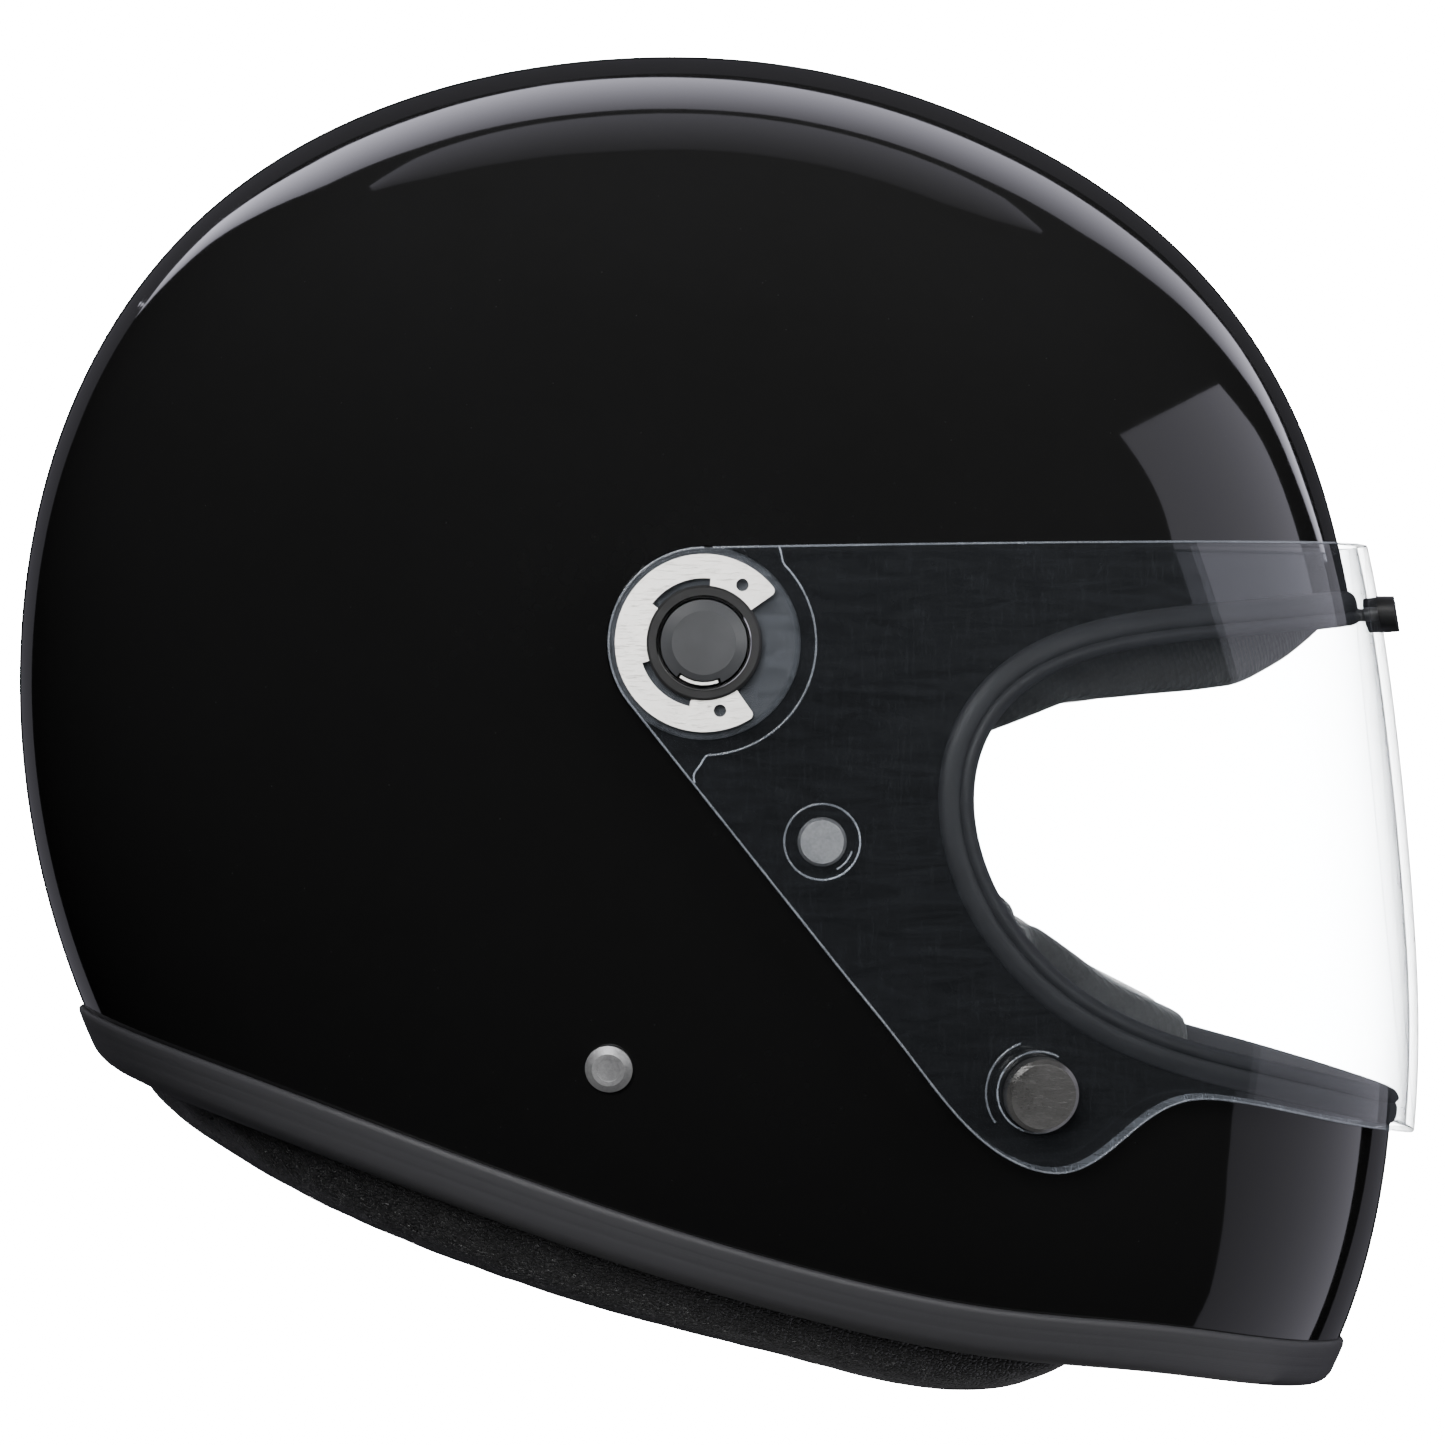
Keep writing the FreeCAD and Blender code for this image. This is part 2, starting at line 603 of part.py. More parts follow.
def pivot_side(name, side):
    turned(name + "_pivot_base",
           [("screw_clear", "spot_height + 0.1"), ("disc_radius", "spot_height + 0.1"),
            ("disc_radius", "disc_top - 0.4"), ("disc_radius - 0.4", "disc_top"),
            ("screw_head - 0.9", "disc_top"), ("screw_clear", "disc_top - 1.0")], side=side)

    turned(name + "_pivot_hub",
           [("screw_head - 0.9", "disc_top"), ("journal_radius", "disc_top"),
            ("journal_radius", "journal_top"), ("groove_radius", "journal_top"),
            ("groove_radius", "groove_top"), ("collar_radius", "groove_top"),
            ("collar_radius", "collar_top - collar_chamfer"),
            ("collar_radius - collar_chamfer", "collar_top"), ("hub_bore", "collar_top"),
            ("hub_bore", "hub_floor"), ("screw_head + 0.3", "hub_floor")], side=side)

    turned(name + "_pivot_bezel",
           [("hub_bore", "collar_top"), ("bezel_outer", "collar_top"),
            ("bezel_outer", "bezel_top - 0.25"), ("bezel_outer - 0.25", "bezel_top"),
            ("hub_bore + 0.1", "bezel_top")], side=side)

    cap = turned(name + "_button_cap",
                 [("0", "button_roof"), ("button_radius - button_wall", "button_roof"),
                  ("button_radius - button_wall", "button_low"), ("button_radius", "button_low"),
                  ("button_radius", "button_edge"), ("button_flat", "button_top"),
                  ("0", "button_top")], side=side)
    room = drum(name + "_latch_room", side, "button_radius + 1", "button_low - 1",
                "button_top + 1", "latch_start - 4", "latch_turn + 8")
    core = drum(name + "_latch_core", side, "latch_inner - latch_gap", "button_low - 2",
                "button_top + 2")
    cut(name + "_pivot_button", cap, [cut(name + "_latch_slot", room, [core])])

    tongue = drum(name + "_tongue", side, "latch_outer", "hub_floor", "latch_top",
                  "latch_start", "latch_turn")
    hollow = drum(name + "_tongue_hollow", side, "latch_inner", "hub_floor - 1",
                  "latch_top + 1")
    cut(name + "_latch_tab", tongue, [hollow])

    plate = drum(name + "_clip_disc", side, "clip_outer", "clip_low", "clip_top",
                 "clip_start", "clip_turn")
    cutters = [drum(name + "_clip_bore", side, "clip_inner", "clip_low - 1", "clip_top + 1")]
    for n, start in enumerate(("notch_first", "notch_second"), start=1):
        cutters.append(drum("%s_clip_notch_%d" % (name, n), side, "clip_notch", "clip_low - 1",
                            "clip_top + 1", start, "notch_turn"))
    for n, place in enumerate(("hole_first", "hole_second"), start=1):
        turn = math.radians(size(place))
        cutters.append(drum("%s_clip_hole_%d" % (name, n), side, "clip_hole", "clip_low - 1",
                            "clip_top + 1", x="clip_hole_reach * %.6f" % math.cos(turn),
                            z="clip_hole_reach * %.6f" % math.sin(turn)))
    flat = cut(name + "_clip_plate", plate, cutters)
    DOC.recompute()
    soften(name + "_pivot_clip", flat)

    turned(name + "_pivot_screw",
           [("0", "screw_end"), ("screw_radius", "screw_end"),
            ("screw_radius", "hub_floor - screw_head + screw_radius"),
            ("screw_head", "hub_floor"), ("screw_socket", "hub_floor"),
            ("screw_socket", "hub_floor - 1.6"), ("0", "hub_floor - 1.6")], side=side)

    turned(name + "_pivot_nut",
           [("nut_bore", "nut_end"), ("nut_barrel", "nut_end"),
            ("nut_barrel", "nut_top - nut_flange_thick"),
            ("nut_flange", "nut_top - nut_flange_thick"), ("nut_flange", "nut_top"),
            ("nut_bore", "nut_top")], side=side)

    feature(name + "_button_spring", button_spring(side))


def soften(label, flat):
    """Round the four corners of the spring plate's open ends."""
    tall = size("clip_top") - size("clip_low")
    start = size("clip_start")
    bearings = (start, start + size("clip_turn"))
    tall_edges = []
    for n, edge in enumerate(flat.Shape.Edges, start=1):
        a, b = (v.Point for v in edge.Vertexes[:1] + edge.Vertexes[-1:])
        upright = abs(abs(a.y - b.y) - tall) < 1e-3
        out = math.hypot(a.x - size("pivot_x"), a.z - size("pivot_z"))
        bearing = math.degrees(math.atan2(a.z - size("pivot_z"), a.x - size("pivot_x")))
        near = any(abs((bearing - b2 + 180) % 360 - 180) < 0.5 for b2 in bearings)
        if upright and near and abs(out - size("clip_outer")) < 0.1:
            tall_edges.append((n, size("clip_corner"), size("clip_corner")))
    item = DOC.addObject("Part::Fillet", label)
    item.Base = flat
    item.Edges = tall_edges


def button_spring(side):
    """Open coil of square wire, between the hub's floor and the button's roof."""
    wire = size("spring_wire")
    low, high = size("hub_floor") + wire + 0.02, size("button_roof") - wire - 0.02
    tall, turns = high - low, size("spring_turns")
    coil = Part.makeHelix(tall / turns, tall, size("spring_radius"))
    inner, outer = size("spring_radius") - wire, size("spring_radius") + wire
    corners = [Vector(inner, 0, -wire), Vector(outer, 0, -wire), Vector(outer, 0, wire),
               Vector(inner, 0, wire)]
    section = Part.makePolygon(corners + corners[:1])
    spring = Part.Wire(coil.Edges).makePipeShell([section], True, True)
    spring.rotate(Vector(0, 0, 0), Vector(1, 0, 0), 90)
    if side < 0:
        spring.translate(Vector(0, -low, 0))
    else:
        spring.translate(Vector(0, high, 0))
    return spring


for NAME, SIDE in (("right", -1), ("left", 1)):
    pivot_side(NAME, SIDE)


# ---------------------------------------------------------------- studs, snaps and rivets

def seat_at(x, z, side, proud="0", side_proud="0"):
    point, direction = outward(size(x), size(z), side, size(proud), size(side_proud))
    return point, direction


def fixings(name, side):
    turned(name + "_visor_stud",
           [("0", "0 - shell_wall - 1.2"), ("stud_shank + 1.2", "0 - shell_wall - 1.2"),
            ("stud_shank + 1.2", "0 - shell_wall - 0.1"), ("stud_shank", "0 - shell_wall - 0.1"),
            ("stud_shank", "0.05"), ("stud_head", "0.15"), ("stud_head", "stud_tall - 0.5"),
            ("stud_head - 0.6", "stud_tall"), ("0", "stud_tall")],
           seat_at("stud_x", "stud_z", side))

    turned(name + "_strap_rivet",
           [("0", "0 - rivet_grip"), ("rivet_shank + 1.5", "0 - rivet_grip"),
            ("rivet_shank + 1.5", "0 - rivet_grip + 1"), ("rivet_washer", "0 - rivet_grip + 1"),
            ("rivet_washer", "0 - rivet_grip + 1 + washer_thick"),
            ("rivet_shank", "0 - rivet_grip + 1 + washer_thick"), ("rivet_shank", "0.1"),
            ("rivet_head", "0.3"), ("rivet_head", "0.9"), ("rivet_mark + 1", "rivet_tall"),
            ("rivet_mark", "rivet_tall"), ("rivet_mark", "rivet_tall - 0.3"),
            ("0", "rivet_tall - 0.3")],
           seat_at("rivet_x", "rivet_z", side))

    turned(name + "_snap_stud",
           [("0", "0 - shell_wall - 1.2"), ("snap_shank + 1.2", "0 - shell_wall - 1.2"),
            ("snap_shank + 1.2", "0 - shell_wall - 0.1"), ("snap_shank", "0 - shell_wall - 0.1"),
            ("snap_shank", "0.05"), ("snap_stud_head", "0.3"), ("snap_stud_head", "0.6"),
            ("snap_stud_neck", "0.7"), ("snap_stud_neck", "snap_stud_tall - 0.3"),
            ("snap_stud_neck - 0.4", "snap_stud_tall"), ("0", "snap_stud_tall")],
           seat_at("snap_x", "snap_z", side))

    turned(name + "_visor_snap_cap",
           [("0", "0 - visor_wall + 0.2"), ("snap_shank", "0 - visor_wall + 0.2"),
            ("snap_shank", "0.2"), ("snap_radius", "0.6"), ("snap_radius", "snap_tall - snap_bevel"),
            ("snap_radius - snap_bevel", "snap_tall"), ("0", "snap_tall")],
           seat_at("snap_x", "snap_z", side, "visor_proud", "visor_side_proud"))


for NAME, SIDE in (("right", -1), ("left", 1)):
    fixings(NAME, SIDE)


# ---------------------------------------------------------------- chin strap and buckle
# Drawn in a leaning plane whose origin is on the line between the two rivets: "across" runs
# along Y and "level" is the distance up the plane, negative towards the chin.

# Centre line of each half from its rivet down to the throat, as (across, below the rivet).
STRAP_RUN = [(106.7, -12), (104.9, 0), (101.9, 14), (98.8, 26.5), (66, 41.5), (30, 54)]
STRAP_BENDS = [0, 60, 60, 5, 60, 40]


def lean_turn():
    return Rotation(Vector(0, 1, 0), -size("strap_lean"))


def leaning(label, shape):
    """A piece drawn in the strap's plane, tipped and carried to the rivets."""
    item = DOC.addObject("Part::Feature", label)
    item.Shape = shape
    item.Placement = Placement(Vector(0, 0, 0), lean_turn())
    return stand(item, "rivet_x", "rivet_z")


def run_points(side, count):
    return [Vector(0, side * across, -below) for across, below in STRAP_RUN[:count]]


def webbing(path, width, thick):
    """Flat band swept along a path of the strap's plane."""
    first = path.OrderedEdges[0]
    start = first.valueAt(first.FirstParameter)
    along = first.tangentAt(first.FirstParameter)
    half = Vector(width / 2, 0, 0)
    rise = Vector(0, -along.z, along.y) * (thick / 2)
    corners = [start - half - rise, start + half - rise, start + half + rise, start - half + rise]
    profile = Part.makePolygon(corners + corners[:1])
    return path.makePipeShell([profile], True, False)


def strap_slot(side):
    """Room that the pads leave for a strap, in its place in the helmet."""
    path = rounded(run_points(side, len(STRAP_RUN)), STRAP_BENDS)
    room = webbing(path, size("strap_width") + 3, size("strap_thick") + 2)
    room.Placement = Placement(Vector(size("rivet_x"), 0, size("rivet_z")), lean_turn())
    return room


def rivet_bars():
    """Room for the rivet shanks, in the strap's plane."""
    bars = drilled(size("rivet_shank") + size("hole_gap"), size("rivet_x"), size("rivet_z"))
    bars.translate(Vector(-size("rivet_x"), 0, -size("rivet_z")))
    bars.rotate(Vector(0, 0, 0), Vector(0, 1, 0), size("strap_lean"))
    return bars


def long_strap():
    level, fold = size("run_level"), size("fold_radius")
    turn_at = size("bar_place - ring_side - ring_half_length") + 2 * fold + 1.9
    spots = run_points(-1, len(STRAP_RUN)) + [Vector(0, turn_at, level),
                                              Vector(0, turn_at, level - 2 * fold),
                                              Vector(0, -36, level - 2 * fold)]
    strap = webbing(rounded(spots, STRAP_BENDS + [fold, fold, 0]),
                    size("strap_width"), size("strap_thick"))
    press = Part.makeCylinder(size("press_shank + hole_gap"), 12,
                              Vector(0, size("press_place"), level - 9), Vector(0, 0, 1))
    return strap.cut(rivet_bars()).cut(press)


def short_strap():
    """Its end goes round the straight bars of both rings and is stitched back to itself."""
    place, loop = size("bar_place"), size("loop_radius")
    top = size("inner_ring_level") + loop
    foot = size("outer_ring_level") - loop
    count = len(STRAP_RUN) - 1
    spots = run_points(1, count) + [Vector(0, place + 3.5, top), Vector(0, place - loop, top),
                                    Vector(0, place - loop, foot), Vector(0, place + 4.5, foot),
                                    Vector(0, place + 16.5, top + 6)]
    strap = webbing(rounded(spots, STRAP_BENDS[:count] + [8, loop, loop, 4, 0]),
                    size("strap_width"), size("strap_thick"))
    return strap.cut(rivet_bars())


def d_ring(level):
    """Round-wire ring with one straight bar, lying level in the strap's plane."""
    place, half = size("bar_place"), size("ring_half_length")
    shoulder = place - size("ring_side")
    corner = size("ring_corner")
    bend = corner * (1 - math.sqrt(0.5))
    lines = [Part.makeLine(Vector(half - corner, place, level),
                           Vector(corner - half, place, level))]
    for sign in (-1, 1):
        lines.append(Part.Arc(Vector(sign * (half - corner), place, level),
                              Vector(sign * (half - bend), place - bend, level),
                              Vector(sign * half, place - corner, level)).toShape())
        lines.append(Part.makeLine(Vector(sign * half, place - corner, level),
                                   Vector(sign * half, shoulder, level)))
    lines.append(Part.Arc(Vector(-half, shoulder, level), Vector(0, shoulder - half, level),
                          Vector(half, shoulder, level)).toShape())
    path = Part.Wire(Part.__sortEdges__(lines))
    first = path.OrderedEdges[0]
    circle = Part.makeCircle(size("ring_wire"), first.valueAt(first.FirstParameter),
                             first.tangentAt(first.FirstParameter))
    return path.makePipeShell([Part.Wire([circle])], True, False)


def strap_pad():
    """Soft sleeve round the strap beside the throat."""
    first, last = sleeve_point("sleeve_start"), sleeve_point("sleeve_end")
    path = Part.Wire([Part.makeLine(first, last)])
    sleeve = webbing(path, size("sleeve_width"), size("sleeve_thick"))
    return sleeve.cut(webbing(path, size("strap_width") + 0.6, size("strap_thick") + 1.6))


def sleeve_point(place):
    """A point of the long strap's straight run beside the throat."""
    (y1, below1), (y2, below2) = STRAP_RUN[-2:]
    share = (size(place) - y1) / (y2 - y1)
    return Vector(0, -size(place), -(below1 + (below2 - below1) * share))


def press_half(label, profile):
    """Half of the press stud that holds the strap's loose end."""
    body = turned(label, profile)
    body.Placement = Placement(Vector(0, 0, 0), lean_turn() * Rotation(Vector(1, 0, 0), 90))
    body.setExpression("Placement.Base.x", bound("pivot_x + rivet_x"))
    body.setExpression("Placement.Base.y", bound("press_place"))
    body.setExpression("Placement.Base.z", bound("pivot_z + rivet_z"))
    return body


feature("impact_liner", impact_liner())
feature("chin_impact_liner", chin_impact_liner())
feature("crown_pad", crown_pad())
feature("brow_band", brow_band())
feature("right_cheek_pad", cheek_pad(-1))
feature("left_cheek_pad", cheek_pad(1))
feature("neck_roll", neck_roll())
feature("cheek_pad_studs", cheek_pad_studs())
leaning("long_strap", long_strap())
leaning("short_strap", short_strap())
leaning("strap_pad", strap_pad())
leaning("inner_d_ring", d_ring(size("inner_ring_level")))
leaning("outer_d_ring", d_ring(size("outer_ring_level")))
press_half("strap_press_socket",
           [("0", "run_level - 3.3"), ("press_radius", "run_level - 3.3"),
            ("press_radius", "run_level - strap_thick / 2 - 0.1"),
            ("press_shank", "run_level - strap_thick / 2 - 0.1"),
            ("press_shank", "run_level + strap_thick / 2 + 0.1"),
            ("press_cap", "run_level + strap_thick / 2 + 0.1"),
            ("press_cap - 0.8", "run_level + strap_thick / 2 + 1"),
            ("0", "run_level + strap_thick / 2 + 1")])
press_half("strap_press_stud",
           [("0", "run_level - 3.5"), ("press_radius", "run_level - 3.5"),
            ("press_radius", "run_level - 2 * fold_radius + strap_thick / 2 + 0.1"),
            ("press_shank", "run_level - 2 * fold_radius + strap_thick / 2 + 0.1"),
            ("press_shank", "run_level - 2 * fold_radius - strap_thick / 2 - 0.1"),
            ("press_cap", "run_level - 2 * fold_radius - strap_thick / 2 - 0.1"),
            ("press_cap - 0.8", "run_level - 2 * fold_radius - strap_thick / 2 - 1"),
            ("0", "run_level - 2 * fold_radius - strap_thick / 2 - 1")])


# ---------------------------------------------------------------- check and write

SIDED = ("pivot_base", "pivot_hub", "pivot_bezel", "pivot_button", "latch_tab", "pivot_clip",
         "pivot_screw", "pivot_nut", "button_spring", "visor_stud", "strap_rivet", "snap_stud",
         "visor_snap_cap", "cheek_pad")
NODES = ["outer_shell", "edge_trim", "eyeport_seal", "impact_liner", "chin_impact_liner",
         "crown_pad", "brow_band", "neck_roll", "cheek_pad_studs", "visor", "visor_tab",
         "visor_tab_screws", "long_strap", "short_strap", "strap_pad", "inner_d_ring",
         "outer_d_ring", "strap_press_socket", "strap_press_stud"]
NODES += [name + "_" + piece for piece in SIDED for name in ("right", "left")]


def write_parts():
    DOC.recompute()
    for item in DOC.Objects:
        if "Invalid" in item.State or "Error" in item.State:
            raise RuntimeError("%s: %s" % (item.Label, item.State))
    os.makedirs("parts", exist_ok=True)
    whole = FreeCAD.BoundBox()
    for node in NODES:
        shape = DOC.getObjectsByLabel(node)[0].Shape
        if shape.isNull() or not shape.isValid() or not shape.Solids:
            raise RuntimeError("%s has no valid solid" % node)
        shape.exportStep(os.path.join("parts", node + ".step"))
        whole.add(shape.BoundBox)
        print("%-20s %2d solids %10.1f mm3" % (node, len(shape.Solids), shape.Volume))
    print("x %.2f %.2f  y %.2f %.2f  z %.2f %.2f" % (whole.XMin, whole.XMax, whole.YMin,
                                                     whole.YMax, whole.ZMin, whole.ZMax))


write_parts()
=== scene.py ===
import math
from contextlib import contextmanager

import bmesh
import bpy
import numpy as np
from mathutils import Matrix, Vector, noise
from mathutils.geometry import delaunay_2d_cdt


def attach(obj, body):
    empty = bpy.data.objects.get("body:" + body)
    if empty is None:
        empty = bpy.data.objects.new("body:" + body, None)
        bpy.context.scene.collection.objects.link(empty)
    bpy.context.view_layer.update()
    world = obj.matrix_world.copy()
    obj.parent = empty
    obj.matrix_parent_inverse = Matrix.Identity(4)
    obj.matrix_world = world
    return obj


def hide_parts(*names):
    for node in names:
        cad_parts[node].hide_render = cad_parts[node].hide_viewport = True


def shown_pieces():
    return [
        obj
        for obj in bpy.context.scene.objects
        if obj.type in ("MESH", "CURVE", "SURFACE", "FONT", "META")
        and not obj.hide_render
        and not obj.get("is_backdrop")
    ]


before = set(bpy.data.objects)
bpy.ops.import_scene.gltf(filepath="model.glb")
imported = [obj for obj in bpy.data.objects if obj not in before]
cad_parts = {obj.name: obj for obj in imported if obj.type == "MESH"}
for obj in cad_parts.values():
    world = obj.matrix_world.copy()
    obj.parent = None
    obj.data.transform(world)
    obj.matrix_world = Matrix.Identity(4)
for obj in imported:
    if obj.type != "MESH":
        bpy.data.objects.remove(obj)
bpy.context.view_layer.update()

# Millimetres about the visor's pivot axis, turned into the row frame's metres by place().
PIVOT = np.array([-3.7, 0.0, 169.03])
HALF = 121.0
PROFILE = np.array([149.8, 145.8, 142.0, 136.8, 135.0, 137.1, 144.1, 152.3, 155.8,
                    157.2, 161.2, 169.0, 182.0, 198.0, 211.0, 228.0, 201.5, 166.5])
STEP = math.radians(20)
EYEPORT = [(190, 9.0), (150, 5.2), (118.7, 1.9), (99.1, -0.3), (83.6, -3.6), (73.2, -8.1),
           (65.5, -14.5), (60, -24.5), (58.7, -36), (62.2, -50.5), (69.8, -63.3), (82.7, -75.6),
           (102.8, -85.6), (128.3, -92.8), (158.9, -101.2), (190, -110.2)]
RIM = [(-190, -78), (-139.9, -94.9), (-112.5, -103.5), (-66.8, -119.2), (-22.8, -134.6),
       (21, -147.9), (65.1, -157.3), (99, -161.3), (136.9, -168.2), (190, -174)]
ROLL = [(-160, -93), (-125, -107), (-87, -125), (-50, -139), (-14, -150), (21, -159),
        (54, -166), (70, -164.5), (84, -158)]
VISOR_LOWER = [(30.5, -71.7), (44.2, -88.8), (56.2, -103.8), (66.7, -112.2), (79, -115),
               (89, -109.8), (98.6, -102.4), (106.2, -99.6), (114.5, -99.9), (138, -105.1),
               (164, -110.9), (190, -116.5)]
VISOR_OUT, VISOR_SIDE, VISOR_WALL = 6.5, 4.7, 2.35
STUD, SNAP, RIVET = (25.5, -42.9), (72.5, -97.4), (-20.6, -92.2)
STRAP_WIDE, STRAP_THICK = 22.0, 1.8
EYE = np.array([4.0, -2000.0, -17.15])


# ---------- form of the shell

def closed_bends(values, step):
    n = len(values)
    m = np.zeros((n, n))
    for i in range(n):
        m[i, i], m[i, (i + 1) % n], m[i, i - 1] = 4, 1, 1
    rise = 6 * (np.roll(values, 1) - 2 * values + np.roll(values, -1)) / step ** 2
    return np.linalg.solve(m, rise)


BENDS = closed_bends(PROFILE, STEP)


def reach(a):
    a = np.mod(a, 2 * math.pi)
    i = (a / STEP).astype(int) % 18
    j = (i + 1) % 18
    gone = a - i * STEP
    left = STEP - gone
    return ((BENDS[i] * left ** 3 + BENDS[j] * gone ** 3) / (6 * STEP)
            + (PROFILE[i] / STEP - BENDS[i] * STEP / 6) * left
            + (PROFILE[j] / STEP - BENDS[j] * STEP / 6) * gone)


def power(a):
    return 2.5 - 0.25 * np.sin(a)


def height(x, z, out, side=None):
    """Distance from the middle plane to the surface that stands proud of the shell."""
    side = out if side is None else side
    a = np.arctan2(z, x)
    share = 1 - (np.hypot(x, z) / (reach(a) + out)) ** power(a)
    return (HALF + side) * np.sqrt(np.maximum(share, 0))


def normals(p, out, side=None):
    """Unit outward normals at points of that surface."""
    side = out if side is None else side

    def level(x, y, z):
        a = np.arctan2(z, x)
        return (y / (HALF + side)) ** 2 + (np.hypot(x, z) / (reach(a) + out)) ** power(a)
    x, y, z = p.T
    e = 0.05
    g = np.stack([level(x + e, y, z) - level(x - e, y, z),
                  level(x, y + e, z) - level(x, y - e, z),
                  level(x, y, z + e) - level(x, y, z - e)], 1)
    return g / np.maximum(np.linalg.norm(g, axis=1, keepdims=True), 1e-12)


# ---------- side-view curves

def spline(points):
    """Smooth open curve through points: a function of 0..1 by chord length."""
    p = np.array(points, float)
    t = np.concatenate([[0], np.cumsum(np.linalg.norm(np.diff(p, axis=0), axis=1))])
    n = len(p)
    h = np.diff(t)
    m = np.zeros((n, n))
    r = np.zeros((n, 2))
    m[0, 0] = m[-1, -1] = 1
    for i in range(1, n - 1):
        m[i, i - 1], m[i, i], m[i, i + 1] = h[i - 1], 2 * (h[i - 1] + h[i]), h[i]
        r[i] = 6 * ((p[i + 1] - p[i]) / h[i] - (p[i] - p[i - 1]) / h[i - 1])
    bend = np.linalg.solve(m, r)

    def at(s):
        u = np.clip(np.asarray(s, float), 0, 1) * t[-1]
        i = np.clip(np.searchsorted(t, u, side="right") - 1, 0, n - 2)
        a, b = (t[i + 1] - u)[:, None], (u - t[i])[:, None]
        w = h[i][:, None]
        return ((bend[i] * a ** 3 + bend[i + 1] * b ** 3) / (6 * w)
                + (p[i] / w - bend[i] * w / 6) * a + (p[i + 1] / w - bend[i + 1] * w / 6) * b)
    return at


def beside(points, away):
    """The curve moved sideways, positive to the right of its travel."""
    at = spline(points)
    p = np.array(points, float)
    t = np.concatenate([[0], np.cumsum(np.linalg.norm(np.diff(p, axis=0), axis=1))])
    s = t / t[-1]
    along = at(np.minimum(s + 1e-4, 1)) - at(np.maximum(s - 1e-4, 0))
    along /= np.linalg.norm(along, axis=1, keepdims=True)
    return p + away * np.stack([along[:, 1], -along[:, 0]], 1)


def inside(poly, x, z):
    """True where a side-view point lies in the polygon."""
    p = np.asarray(poly, float)
    hit = np.zeros(len(x), bool)
    for (x1, z1), (x2, z2) in zip(p, np.roll(p, -1, axis=0)):
        if z1 == z2:
            continue
        crosses = (z1 > z) != (z2 > z)
        hit ^= crosses & (x < (x2 - x1) * (z - z1) / (z2 - z1) + x1)
    return hit


def eye_area(away):
    return spline(beside(EYEPORT, away))(np.linspace(0, 1, 160))


def rim_area(higher):
    line = spline(beside(RIM, -higher))(np.linspace(0, 1, 160))
    return np.concatenate([line, [[190, -300], [-190, -300]]])


# ---------- mesh makers

def place(p):
    return (np.asarray(p, float).reshape(-1, 3) + PIVOT) / 1000


def from_faces(name, points, faces, material, body, smooth=True, stands_for=()):
    mesh = bpy.data.meshes.new(name)
    mesh.from_pydata(place(points).tolist(), [], [list(map(int, f)) for f in faces])
    mesh.validate()
    if smooth:
        mesh.polygons.foreach_set("use_smooth", [True] * len(mesh.polygons))
    obj = bpy.data.objects.new(name, mesh)
    bpy.context.scene.collection.objects.link(obj)
    for m in material if isinstance(material, (list, tuple)) else [material]:
        mesh.materials.append(m)
    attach(obj, body)
    if stands_for:
        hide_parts(*stands_for)
    return obj


@contextmanager
def editing(mesh):
    bm = bmesh.new()
    bm.from_mesh(mesh)
    yield bm
    bm.to_mesh(mesh)
    bm.free()


def sharpen(obj, degrees):
    limit = math.radians(degrees)
    with editing(obj.data) as bm:
        bmesh.ops.recalc_face_normals(bm, faces=bm.faces)
        for e in bm.edges:
            e.smooth = len(e.link_faces) == 2 and e.calc_face_angle(0) < limit


def quads(rows, around, closed=True, hoop=False, start=0):
    """Faces between neighbouring rows of points: closed runs on round each row, and hoop
    joins the last row to the first."""
    faces = []
    for r in range(rows if hoop else rows - 1):
        here, there = start + r * around, start + (r + 1) % rows * around
        for i in range(around if closed else around - 1):
            j = (i + 1) % around
            faces.append((here + i, here + j, there + j, there + i))
    return faces


def ends(rows, around, start=0):
    """The two faces that close a tube made of rows of points."""
    last = start + (rows - 1) * around
    return [tuple(range(start, start + around))[::-1], tuple(range(last, last + around))]


